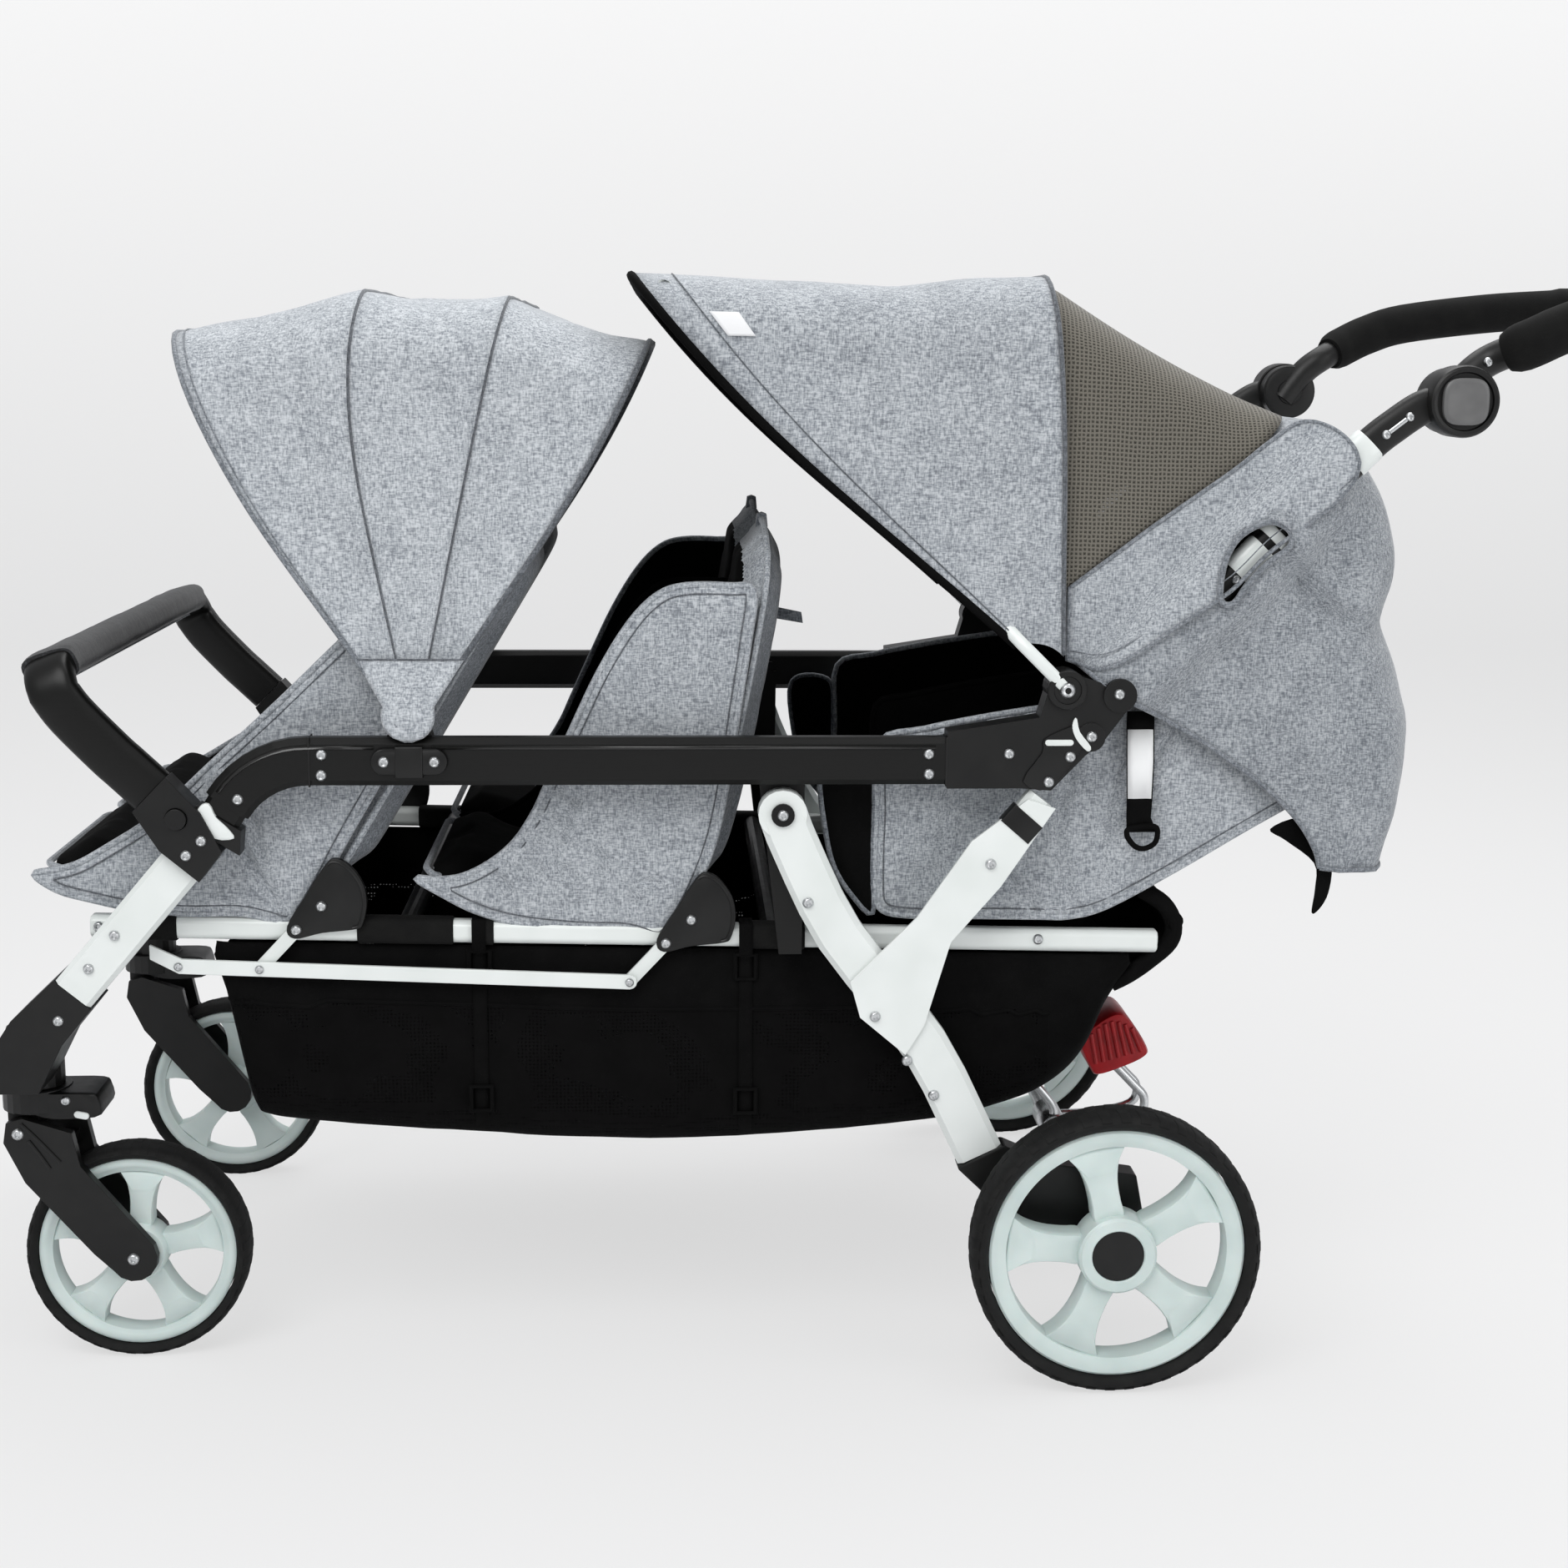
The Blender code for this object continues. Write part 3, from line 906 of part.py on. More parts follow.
def main():
    """Build the whole stroller."""
    for old in list(bpy.data.objects):
        bpy.data.objects.remove(old)
    white = material("white_enamel", (0.84, 0.86, 0.86), 0.35)
    black = material("black_plastic", (0.022, 0.021, 0.020), 0.45)
    rim = material("pale_plastic", (0.62, 0.70, 0.68), 0.45)
    rubber = material("tyre_rubber", (0.018, 0.018, 0.018), 0.85)
    foam = material("grip_foam", (0.020, 0.020, 0.020), 0.80)
    steel = material("zinc_plated_steel", (0.62, 0.62, 0.63), 0.30, 1.0)
    red = material("red_plastic", (0.45, 0.02, 0.02), 0.40)
    grey = material("grey_melange", (0.36, 0.39, 0.42), 0.90)
    mesh_finish = material("brown_mesh", (0.14, 0.13, 0.11), 0.80)
    dark = material("black_fabric", (0.012, 0.012, 0.012), 0.90)
    root = bpy.data.objects.new("stroller_frame", None)
    bpy.context.scene.collection.objects.link(root)
    root.location = (ORIGIN_SHIFT, 0, 0)
    build_rails(root, black)
    build_brackets(root, black)
    build_front_joints(root, black)
    build_front_bar(root, black)
    build_front_legs(root, white, black)
    build_casters(root, black, black, (rim, rubber))
    build_rear_frame(root, white, black, steel)
    build_rear_wheels(root, (rim, rubber))
    build_brake_pedal(root, red)
    build_lower_tubes(root, white, black)
    build_link_bars(root, white)
    build_seat_pans(root, grey)
    build_seat_backs(root, grey)
    build_front_canopy(root, grey)
    build_rear_hood(root, grey, mesh_finish)
    build_handle(root, white, foam, black)
    build_basket(root, dark)


main()
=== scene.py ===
# %% [markdown]
# A six-seat stroller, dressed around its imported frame. The frame holds every size, so this script only adds
# finishes, cloth, padding and small hardware. All places below are side-view points (x, z) counted from the
# rear axle, as a frame maker would draw them, with y across the stroller and the left side at minus y.

# %% Load the frame
import math

import bmesh
import bpy
import numpy as np
from mathutils import Matrix, Vector, noise
from mathutils.geometry import delaunay_2d_cdt


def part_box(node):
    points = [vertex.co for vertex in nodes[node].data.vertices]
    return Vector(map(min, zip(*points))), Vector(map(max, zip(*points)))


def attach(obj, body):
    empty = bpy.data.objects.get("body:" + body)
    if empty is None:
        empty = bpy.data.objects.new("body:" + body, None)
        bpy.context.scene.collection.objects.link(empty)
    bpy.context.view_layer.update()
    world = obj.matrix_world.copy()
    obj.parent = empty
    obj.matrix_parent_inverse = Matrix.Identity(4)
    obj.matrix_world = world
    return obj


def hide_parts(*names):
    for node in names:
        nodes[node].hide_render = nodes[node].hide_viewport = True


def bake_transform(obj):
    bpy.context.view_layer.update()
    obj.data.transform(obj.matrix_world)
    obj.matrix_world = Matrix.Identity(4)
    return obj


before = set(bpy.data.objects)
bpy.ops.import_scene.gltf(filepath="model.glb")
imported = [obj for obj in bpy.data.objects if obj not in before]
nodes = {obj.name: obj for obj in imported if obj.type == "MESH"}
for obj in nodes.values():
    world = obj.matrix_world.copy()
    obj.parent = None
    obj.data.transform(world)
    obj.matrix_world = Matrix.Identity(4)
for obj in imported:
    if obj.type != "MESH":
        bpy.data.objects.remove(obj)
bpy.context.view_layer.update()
AXLE_X = sum(corner.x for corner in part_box("rear_axle")) / 2
SIDES = (("left", -1), ("right", 1))
print(f"frame: {len(nodes)} nodes, rear axle at x = {AXLE_X:.3f} m")


def at(point, y=0.0):
    """A side-view point and a place across the width, as a point in the frame."""
    return Vector((point[0] + AXLE_X, y, point[1]))


def mm(*numbers):
    """Pairs in metres, mostly side-view points, from a row of numbers in millimetres."""
    return [(x / 1000, z / 1000) for x, z in zip(numbers[::2], numbers[1::2])]


def polar(centre, radius, degrees):
    """A side-view point at a distance and angle from a centre."""
    angle = math.radians(degrees)
    return (centre[0] + radius * math.cos(angle), centre[1] + radius * math.sin(angle))


def mix(a, b, share):
    """A value, or each number of a point, part of the way from a to b."""
    if isinstance(a, (int, float)):
        return a + (b - a) * share
    return type(a)(p + (q - p) * share for p, q in zip(a, b))


def ease(value, low, high):
    """0 below low, 1 above high, and a smooth step between them."""
    share = min(1.0, max(0.0, (value - low) / (high - low)))
    return share * share * (3 - 2 * share)


# %% [markdown]
# The camera is the photograph's: a normal lens a little over two metres away, looking slightly down. Its place
# comes from the wheels and rails, whose real sizes are known. It is made first, because everything is judged
# through it.

# %% Camera
SENSOR_MM = 36.0
LENS_MM = 53.72
CAMERA_PLACE = at((-0.3856, 0.8871), -2.2642)
YAW, PITCH, ROLL = 0.0675, 0.1956, 0.0100

forward = Vector((math.sin(YAW) * math.cos(PITCH), math.cos(YAW) * math.cos(PITCH), -math.sin(PITCH)))
level_right = Vector((math.cos(YAW), -math.sin(YAW), 0))
level_up = level_right.cross(forward)
right = math.cos(ROLL) * level_right + math.sin(ROLL) * level_up
up = -math.sin(ROLL) * level_right + math.cos(ROLL) * level_up
lens = bpy.data.cameras.new("camera")
lens.sensor_width = SENSOR_MM
lens.lens = LENS_MM
lens.shift_x, lens.shift_y = -0.0267, 0.0245
camera = bpy.data.objects.new("camera", lens)
bpy.context.scene.collection.objects.link(camera)
turned_axes = Matrix((right, up, -forward)).transposed().to_4x4()
camera.matrix_world = Matrix.Translation(CAMERA_PLACE) @ turned_axes
bpy.context.scene.camera = camera
bpy.context.scene.view_settings.view_transform = "Standard"
print(f"camera: {LENS_MM} mm lens, {CAMERA_PLACE.y:.2f} m from the middle")

# %% [markdown]
# A material is a small graph of nodes. Two helpers keep the graphs short: one turns a hex colour as a designer
# writes it into the linear numbers that Blender calculates with, and one adds any node with its settings, its
# values and the links that feed it.


# %% Material helpers
def srgb(code, alpha=1.0):
    """A hex colour as the linear RGBA that shaders need."""
    values = [int(code[i:i + 2], 16) / 255 for i in (1, 3, 5)]
    linear = [v / 12.92 if v <= 0.04045 else ((v + 0.055) / 1.055) ** 2.4 for v in values]
    return (*linear, alpha)


def add_node(tree, kind, settings=None, values=None, links=None):
    """One node with its settings, its socket values and the sockets that feed it."""
    made = tree.nodes.new(kind)
    for key, value in (settings or {}).items():
        setattr(made, key, value)
    for key, value in (values or {}).items():
        made.inputs[key].default_value = value
    for key, source in (links or {}).items():
        tree.links.new(source, made.inputs[key])
    return made


def start_material(name, colour, roughness, **sockets):
    """A new material: its tree, its Principled shader and the object's own coordinates in metres."""
    made = bpy.data.materials.new(name)
    made.use_nodes = True
    tree = made.node_tree
    shader = tree.nodes["Principled BSDF"]
    shader.inputs["Base Color"].default_value = srgb(colour)
    shader.inputs["Roughness"].default_value = roughness
    for key, value in sockets.items():
        shader.inputs[key.replace("_", " ")].default_value = value
    place = add_node(tree, "ShaderNodeTexCoord").outputs["Object"]
    return made, tree, shader, place


def tint(tree, shader, source, *stops):
    """Base colour from a ramp of (position, hex colour) stops."""
    made = add_node(tree, "ShaderNodeValToRGB", links={"Fac": source})
    ends = made.color_ramp.elements
    while len(ends) < len(stops):
        ends.new(0.5)
    for element, (position, colour) in zip(ends, stops):
        element.position = position
        element.color = srgb(colour)
    tree.links.new(made.outputs["Color"], shader.inputs["Base Color"])


def grain(tree, place, size_mm, detail=2.0, stretch=(1, 1, 1)):
    """Noise whose spots are about size_mm across, stretched by the given factors."""
    scaled = add_node(tree, "ShaderNodeMapping", links={"Vector": place},
                      values={"Scale": [1000 / (size_mm * s) for s in stretch]})
    return add_node(tree, "ShaderNodeTexNoise", links={"Vector": scaled.outputs["Vector"]},
                    values={"Scale": 1.0, "Detail": detail}).outputs["Fac"]


def maths(tree, operation, *values):
    """A Math node on sockets or numbers."""
    made = add_node(tree, "ShaderNodeMath", {"operation": operation})
    for socket, value in zip(made.inputs, values):
        if isinstance(value, (int, float)):
            socket.default_value = value
        else:
            tree.links.new(value, socket)
    return made.outputs["Value"]


def emboss(tree, shader, height, depth_mm, strength=1.0):
    """Bump from a height socket whose full range is depth_mm."""
    bump = add_node(tree, "ShaderNodeBump", links={"Height": height},
                    values={"Distance": depth_mm / 1000, "Strength": strength})
    tree.links.new(bump.outputs["Normal"], shader.inputs["Normal"])


# %% [markdown]
# The hard finishes. White tubes are powder coated steel: a gloss skin with a faint orange peel. Black shells and
# brackets are glass-filled polyamide, moulded with a fine spark grain. Wheels are tinted polypropylene, tyres
# are foamed EVA rubber, screws are zinc plated. Each starts from the usual IOR and roughness of its kind.


# %% Hard materials
def finish(name, colour, roughness, tones=None, bump=None, gloss=None, detail=2.0, stretch=(1, 1, 1), pores=0,
           **sockets):
    """A finish: tones are (mm across, stops), bump is (mm across, mm deep, strength), gloss (mm, range, lowest)."""
    made, tree, shader, place = start_material(name, colour, roughness, **sockets)
    if tones:
        tint(tree, shader, grain(tree, place, tones[0], detail, stretch), *tones[1:])
    if gloss:
        rough = maths(tree, "MULTIPLY_ADD", grain(tree, place, gloss[0], detail), *gloss[1:])
        tree.links.new(rough, shader.inputs["Roughness"])
    if bump:
        height = grain(tree, place, bump[0], stretch=stretch) if not pores else add_node(
            tree, "ShaderNodeTexVoronoi", links={"Vector": place}, values={"Scale": pores}).outputs["Distance"]
        emboss(tree, shader, height, *bump[1:])
    return made


WHITE = finish("powder_coated_steel", "#E2E6E4", 0.30, (60, (0.3, "#DCE1DE"), (0.7, "#E6EAE8")), (3, 0.04, 0.4),
               IOR=1.5, Coat_Weight=0.25)
BLACK = finish("moulded_polyamide", "#0C0C0C", 0.42, (35, (0.3, "#080808"), (0.7, "#111110")), (1.2, 0.06, 0.5),
               (9, 0.16, 0.34), IOR=1.53, Specular_IOR_Level=0.32)
# The drawing lines of the rail's extrusion run along it
RAIL = finish("black_anodised_aluminium", "#0C0C0B", 0.36, (0.9, (0.3, "#0A0A09"), (0.7, "#0E0E0D")),
              (0.9, 0.03, 0.35), stretch=(60, 1, 1), IOR=1.5, Specular_IOR_Level=0.28)
WHEEL = finish("tinted_polypropylene", "#CBD8D5", 0.38, (45, (0.3, "#C3D1CE"), (0.7, "#D3DFDC")), (2.5, 0.05, 0.4),
               IOR=1.49, Subsurface_Weight=0.08, Subsurface_Scale=0.004)
TYRE = finish("eva_rubber", "#0E0E0E", 0.78, (14, (0.35, "#0A0A0A"), (0.75, "#161615")), (0.8, 0.12, 0.6), detail=4,
              IOR=1.52, Specular_IOR_Level=0.3)
FOAM = finish("foam_sleeve", "#0A0A0A", 0.85, (20, (0.3, "#070707"), (0.7, "#10100F")), (1, 0.25, 0.6), pores=900,
              IOR=1.45, Specular_IOR_Level=0.25)
ZINC = finish("zinc_plated_steel", "#C9CBCC", 0.28, gloss=(1.5, 0.2, 0.2), detail=3, Metallic=1.0)
RED = finish("red_abs", "#A80812", 0.34, (12, (0.3, "#98060F"), (0.7, "#B00A16")), (1.0, 0.03, 0.4), IOR=1.54,
             Specular_IOR_Level=0.35)
BUTTON = finish("grey_polyamide", "#5E5E5E", 0.45, (20, (0.3, "#585858"), (0.7, "#646464")), (0.9, 0.05, 0.5),
                IOR=1.53)
print("hard materials:", ", ".join(m.name for m in bpy.data.materials))

# %% [markdown]
# The cloth. The grey one is a melange polyester: light and dark yarns are spun together and woven plain, so the
# eye sees short flecks along the warp and the weft. Yarns are 0.5 mm, too fine for the picture, so the flecks are
# drawn 1.3 mm wide. The mesh is a warp knit, whose holes are drawn 3.7 mm apart so that they show, and the black
# cloth is a plain 600 denier weave.


# %% Cloth materials
def melange(name, light, middle, dark):
    """Melange polyester: flecks of light and dark yarn along warp and weft."""
    made, tree, shader, place = start_material(name, middle, 0.92, IOR=1.5, Sheen_Weight=0.25, Sheen_Roughness=0.5)
    weft = grain(tree, place, 1.3, 2.0, (4.0, 1, 1))
    warp = grain(tree, place, 1.3, 2.0, (1, 1, 4.0))
    flecks = maths(tree, "MULTIPLY", maths(tree, "ADD", weft, warp), 0.5)
    cloud = maths(tree, "SUBTRACT", grain(tree, place, 30), 0.5)
    tone = maths(tree, "ADD", flecks, maths(tree, "MULTIPLY", cloud, 0.12))
    tint(tree, shader, tone, (0.36, dark), (0.50, middle), (0.62, light))
    creases = grain(tree, place, 22, 3.0)
    emboss(tree, shader, maths(tree, "ADD", maths(tree, "MULTIPLY", flecks, 0.2), creases), 1.6, 0.55)
    return made


def knitted_mesh():
    """Warp-knit mesh: brown yarn round holes on a honeycomb, which let the light through."""
    made, tree, shader, place = start_material("knitted_mesh", "#57534A", 0.85, IOR=1.5, Sheen_Weight=0.2)
    axes = add_node(tree, "ShaderNodeSeparateXYZ", links={"Vector": place})
    girth = maths(tree, "SUBTRACT", axes.outputs["Z"], maths(tree, "ABSOLUTE", axes.outputs["Y"]))
    flat = add_node(tree, "ShaderNodeCombineXYZ", links={"X": axes.outputs["X"], "Y": girth})
    cells = add_node(tree, "ShaderNodeTexVoronoi", {"feature": "DISTANCE_TO_EDGE", "voronoi_dimensions": "2D"},
                     {"Scale": 270.0, "Randomness": 0.2}, {"Vector": flat.outputs["Vector"]}).outputs["Distance"]
    tint(tree, shader, cells, (0.05, "#6E6A61"), (0.30, "#45423A"))
    cover = maths(tree, "MAXIMUM", maths(tree, "LESS_THAN", cells, 0.26), 0.55)
    tree.links.new(cover, shader.inputs["Alpha"])
    emboss(tree, shader, cells, 0.4, 0.6)
    return made


def black_weave(name, colour, lighter, holes=False):
    """Plain woven 600 denier polyester, or the open mesh of the basket's side."""
    made, tree, shader, place = start_material(name, colour, 0.88, IOR=1.5, Sheen_Weight=0.0, Specular_IOR_Level=0.1)
    tint(tree, shader, grain(tree, place, 25, 3), (0.3, colour), (0.75, lighter))
    if holes:
        height = add_node(tree, "ShaderNodeTexVoronoi", {"feature": "DISTANCE_TO_EDGE"},
                          {"Scale": 300.0, "Randomness": 0.1}, {"Vector": place}).outputs["Distance"]
        cover = maths(tree, "MAXIMUM", maths(tree, "LESS_THAN", height, 0.27), 0.72)
        tree.links.new(cover, shader.inputs["Alpha"])
    else:
        height = add_node(tree, "ShaderNodeTexChecker", links={"Vector": place}, values={"Scale": 700.0}).outputs["Fac"]
    creases = grain(tree, place, 18, 3)
    emboss(tree, shader, maths(tree, "ADD", maths(tree, "MULTIPLY", height, 0.1), creases), 1.4, 0.5)
    return made


GREY = melange("grey_melange_polyester", "#BDC1C5", "#9CA1A6", "#70757C")
# The canopy's cloth is the grey melange made lighter: a painted light on the top of the stroller
CANOPY_GREY_PAINTED_LIGHT = melange("melange_polyester_painted_light", "#C6CACE", "#A7ACB1", "#7A7F86")
# The back panel's cloth is the same grey melange made darker: a painted shade
PANEL_GREY_PAINTED_SHADE = melange("melange_polyester_painted_shade", "#ABAFB3", "#8B9095", "#62676E")
DARK_GREY = melange("shaded_melange_polyester", "#92969B", "#74797F", "#50555B")
PIPING = melange("piping_cord_cover", "#70747A", "#585C61", "#3E4146")
BAR_CLOTH = melange("dark_melange_polyester", "#3C3E41", "#28292B", "#18191B")
MESH = knitted_mesh()
BLACK_CLOTH = black_weave("black_600_denier", "#040404", "#0A0A0A")
BLACK_NET = black_weave("black_basket_net", "#030303", "#070707", holes=True)
PALE_CLOTH = finish("pale_polyester_patch", "#E6E7E8", 0.8, bump=(1.5, 0.3, 0.6), Sheen_Weight=0.2)
REFLECTOR = finish("glass_bead_reflector", "#F1F2F2", 0.35, bump=(0.8, 0.08, 0.5), Specular_IOR_Level=0.7)
LIP_FINISH = finish("polished_black_lacquer", "#191918", 0.20, IOR=1.5)

# A slot name for the name of each first finish; hard black pieces share one, and so does all other
# cloth
SLOTS = {WHITE.name: "white_enamel", WHEEL.name: "pale_plastic", REFLECTOR.name: "pale_plastic",
         TYRE.name: "tyre_rubber", FOAM.name: "grip_foam", ZINC.name: "zinc_plated_steel", RED.name: "red_plastic",
         MESH.name: "brown_mesh", BLACK_CLOTH.name: "black_fabric"}
SLOTS.update({m.name: "black_plastic" for m in (BLACK, RAIL, BUTTON, LIP_FINISH)})
SLOTS.update({m.name: "grey_melange" for m in (GREY, CANOPY_GREY_PAINTED_LIGHT, PANEL_GREY_PAINTED_SHADE, DARK_GREY, PIPING, BAR_CLOTH,
                                               PALE_CLOTH)})
print("cloth:", ", ".join(m.name for m in (GREY, DARK_GREY, PIPING, MESH, BLACK_CLOTH, BLACK_NET)))

# %% [markdown]
# Every node of the frame gets the finish of the real piece. Those that keep their own shape are also softened: a
# moulded or welded part has no knife edges, and a small bevel catches the light along them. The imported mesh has
# split corners, so a Weld modifier joins them before the Bevel.


# %% Finishes on the frame's own nodes
def paint(name, finish, bevel_mm):
    """Give a frame node its material and, where asked, a small bevel."""
    piece = nodes[name]
    piece.data.materials.clear()
    piece.data.materials.append(finish)
    if bevel_mm:
        weld = piece.modifiers.new("weld", "WELD")
        weld.merge_threshold = 0.00002
        edge = piece.modifiers.new("bevel", "BEVEL")
        edge.width = bevel_mm / 1000
        edge.segments = 2 if bevel_mm < 2 else 4
        edge.limit_method = "ANGLE"
        edge.angle_limit = math.radians(30)
        edge.harden_normals = False


# Finish, bevel in millimetres and nodes, where a stem stands for the left and the right one
PAINT = ((BLACK, 1.5, "front_joint caster_head caster_swivel caster_fork rear_leg_foot rear_bracket"),
         (BLACK, 0.8, "bar_button handle_button"), (WHITE, 2.5, "front_leg rear_leg leg_brace seat_tube"),
         (WHITE, 0.8, "link_bar handle_post"), (RAIL, 4.5, "rail"), (WHEEL, 0, "front_rim rear_rim"),
         (TYRE, 0, "front_tyre rear_tyre"), (GREY, 0, "front_seat_back middle_seat_back rear_seat_back"),
         (RAIL, 0, "front_bar"), (ZINC, 0, "rear_axle"), (RED, 0, "brake_pedal"), (FOAM, 0, "handle_grip"),
         (BLACK, 0, "front_cross_tube rear_cross_tube"), (BLACK_CLOTH, 0, "basket"), (MESH, 0, "rear_hood_mesh"),
         (GREY, 0, "front_seat_pan middle_seat_pan rear_seat_pan front_canopy_front front_canopy_middle"),
         (GREY, 0, "front_canopy_rear rear_hood rear_panel"))
for metal_or_cloth, bevel_mm, stems in PAINT:
    for stem in stems.split():
        for name in (stem,) if stem in nodes else (f"{stem}_left", f"{stem}_right"):
            paint(name, metal_or_cloth, bevel_mm)
print("painted", len(nodes), "nodes")

# %% [markdown]
# The room is a photographer's sweep: one pale sheet that runs from floor to wall with a wide bend. To the camera
# the sheet mostly glows, brighter higher up, which is painted light. The light is soft: a pale world all round, and
# three square lamps. The world is a plain light grey, so a colour renders about as it is written.


# %% Room and light
def sweep_sheet():
    """The pale floor that turns up into a wall behind; to the camera it glows, brighter higher up, a painted light."""
    made, tree, shader, place = start_material("pale_paper_painted_glow", "#E9E9EA", 0.95)
    path = add_node(tree, "ShaderNodeLightPath")
    height = add_node(tree, "ShaderNodeSeparateXYZ", links={"Vector": place}).outputs["Z"]
    # Painted light: seen from the camera, the sheet glows more with height, up to a limit
    rise = maths(tree, "MULTIPLY_ADD", height, 0.10, 0.86)
    glow = add_node(tree, "ShaderNodeEmission", values={"Color": (1, 1, 1, 1)},
                    links={"Strength": maths(tree, "MINIMUM", rise, 1.08)})
    share = maths(tree, "MULTIPLY", path.outputs["Is Camera Ray"], 0.75)
    blend = add_node(tree, "ShaderNodeMixShader", links={"Fac": share})
    tree.links.new(shader.outputs["BSDF"], blend.inputs[1])
    tree.links.new(glow.outputs["Emission"], blend.inputs[2])
    tree.links.new(blend.outputs["Shader"], tree.nodes["Material Output"].inputs["Surface"])
    half, reach, bend, wall = 9.0, 5.0, 2.0, 7.0
    profile = [(-half, 0.0), (reach, 0.0)]
    profile += [(reach + bend * math.sin(a), bend * (1 - math.cos(a)))
                for a in (math.pi / 2 * i / 12 for i in range(1, 13))]
    profile.append((reach + bend, wall))
    bm = bmesh.new()
    rows = [[bm.verts.new((x, y, z)) for x in (-half, half)] for y, z in profile]
    for low, high in zip(rows, rows[1:]):
        bm.faces.new((low[0], low[1], high[1], high[0])).smooth = True
    mesh = bpy.data.meshes.new("paper_sweep")
    bm.to_mesh(mesh)
    bm.free()
    mesh.materials.append(made)
    paper = bpy.data.objects.new("paper_sweep", mesh)
    bpy.context.scene.collection.objects.link(paper)


def lamp(name, place, aim, size, watts):
    """A square soft lamp that faces a point."""
    light = bpy.data.lights.new(name, "AREA")
    light.shape = "SQUARE"
    light.size = size
    light.energy = watts
    made = bpy.data.objects.new(name, light)
    bpy.context.scene.collection.objects.link(made)
    made.location = place
    made.rotation_euler = (Vector(aim) - Vector(place)).to_track_quat("-Z", "Y").to_euler()


sweep_sheet()
lamp("key_lamp", (-1.2, -2.4, 3.0), (0, 0, 0.4), 2.2, 66)
lamp("top_lamp", (0.6, 0.8, 3.2), (0, 0, 0.5), 2.6, 66)
lamp("fill_lamp", (2.6, -2.2, 1.4), (0, 0, 0.5), 2.0, 22)
world = bpy.data.worlds.new("studio")
bpy.context.scene.world = world
world.use_nodes = True
sky = world.node_tree.nodes["Background"]
sky.inputs["Color"].default_value = srgb("#F4F5F7")
path = add_node(world.node_tree, "ShaderNodeLightPath")
seen = maths(world.node_tree, "MULTIPLY_ADD", path.outputs["Is Camera Ray"], 0.38, 0.56)
world.node_tree.links.new(seen, sky.inputs["Strength"])
print("room: paper sweep, three lamps")

# %% [markdown]
# Cloth and small parts are all made from three kinds of mesh: a sheet of points in rows, a round cord along a
# line, and a shape turned on a lathe. Rows of points are the natural choice for sewn cloth, because its seams
# and creases run along them.


# %% Mesh helpers
def bridge(bm, rings, closed=True):
    """Quads from each ring or row of vertices to the next."""
    for one, two in zip(rings, rings[1:]):
        for k in range(len(one) if closed else len(one) - 1):
            j = (k + 1) % len(one)
            bm.faces.new((one[k], one[j], two[j], two[k]))


def sheet_mesh(rows, target=None):
    """Quads between rows of points."""
    bm = target or bmesh.new()
    bridge(bm, [[bm.verts.new(p) for p in row] for row in rows], closed=False)
    return bm


def cord_mesh(points, radius, sides=8, closed=False, target=None, flat=1.0):
    """A round or flattened cord along a line of points."""
    bm = target or bmesh.new()
    line = [Vector(p) for p in points]
    count = len(line)
    rings = []
    side = None
    for i, point in enumerate(line):
        ahead = line[(i + 1) % count] if closed or i + 1 < count else point
        behind = line[i - 1] if closed or i else point
        run = (ahead - behind).normalized()
        if side is None:
            side = run.orthogonal().normalized() if abs(run.y) > 0.9 else Vector((0, 1, 0))
        side = (side - run * side.dot(run)).normalized()
        rise = run.cross(side)
        rings.append([bm.verts.new(point + side * radius * flat * math.cos(a) + rise * radius * math.sin(a))
                      for a in (2 * math.pi * k / sides for k in range(sides))])
    bridge(bm, rings + rings[:1] if closed else rings)
    if not closed:
        bm.faces.new(list(reversed(rings[0])))
        bm.faces.new(rings[-1])
    return bm


def lathe_mesh(profile, centre, steps=48, target=None):
    """(radius, y) points turned round a line across the stroller; both ends closed on the axis where they meet it."""
    bm = target or bmesh.new()
    rings = []
    for radius, y in profile:
        ring = [bm.verts.new((centre[0] + radius * math.cos(a), centre[1] + y, centre[2] + radius * math.sin(a)))
                for a in (2 * math.pi * k / steps for k in range(steps if radius > 0 else 1))]
        rings.append(ring)
    for one, two in zip(rings, rings[1:]):
        for k in range(steps):
            j = (k + 1) % steps
            corners = []
            for vert in (one[k % len(one)], one[j % len(one)], two[j % len(two)], two[k % len(two)]):
                if vert not in corners:
                    corners.append(vert)
            if len(corners) > 2:
                bm.faces.new(corners)
    return bm


def smooth_line(points, steps=6, closed=False):
    """Points on a Catmull-Rom curve through the given ones, of any dimension."""
    line = [np.array(p, float) for p in points]
    count = len(line)
    if not closed:
        line = [2 * line[0] - line[1]] + line + [2 * line[-1] - line[-2]]
    spans = range(count) if closed else range(1, count)
    result = [] if closed else [line[1]]
    for i in spans:
        a, b, c, d = (line[(i + k - 1) % len(line)] for k in range(4))
        for k in range(1, steps + 1):
            t = k / steps
            result.append(0.5 * (2 * b + (c - a) * t + (2 * a - 5 * b + 4 * c - d) * t * t
                                 + (3 * b - a - 3 * c + d) * t * t * t))
    return [tuple(p) for p in result]


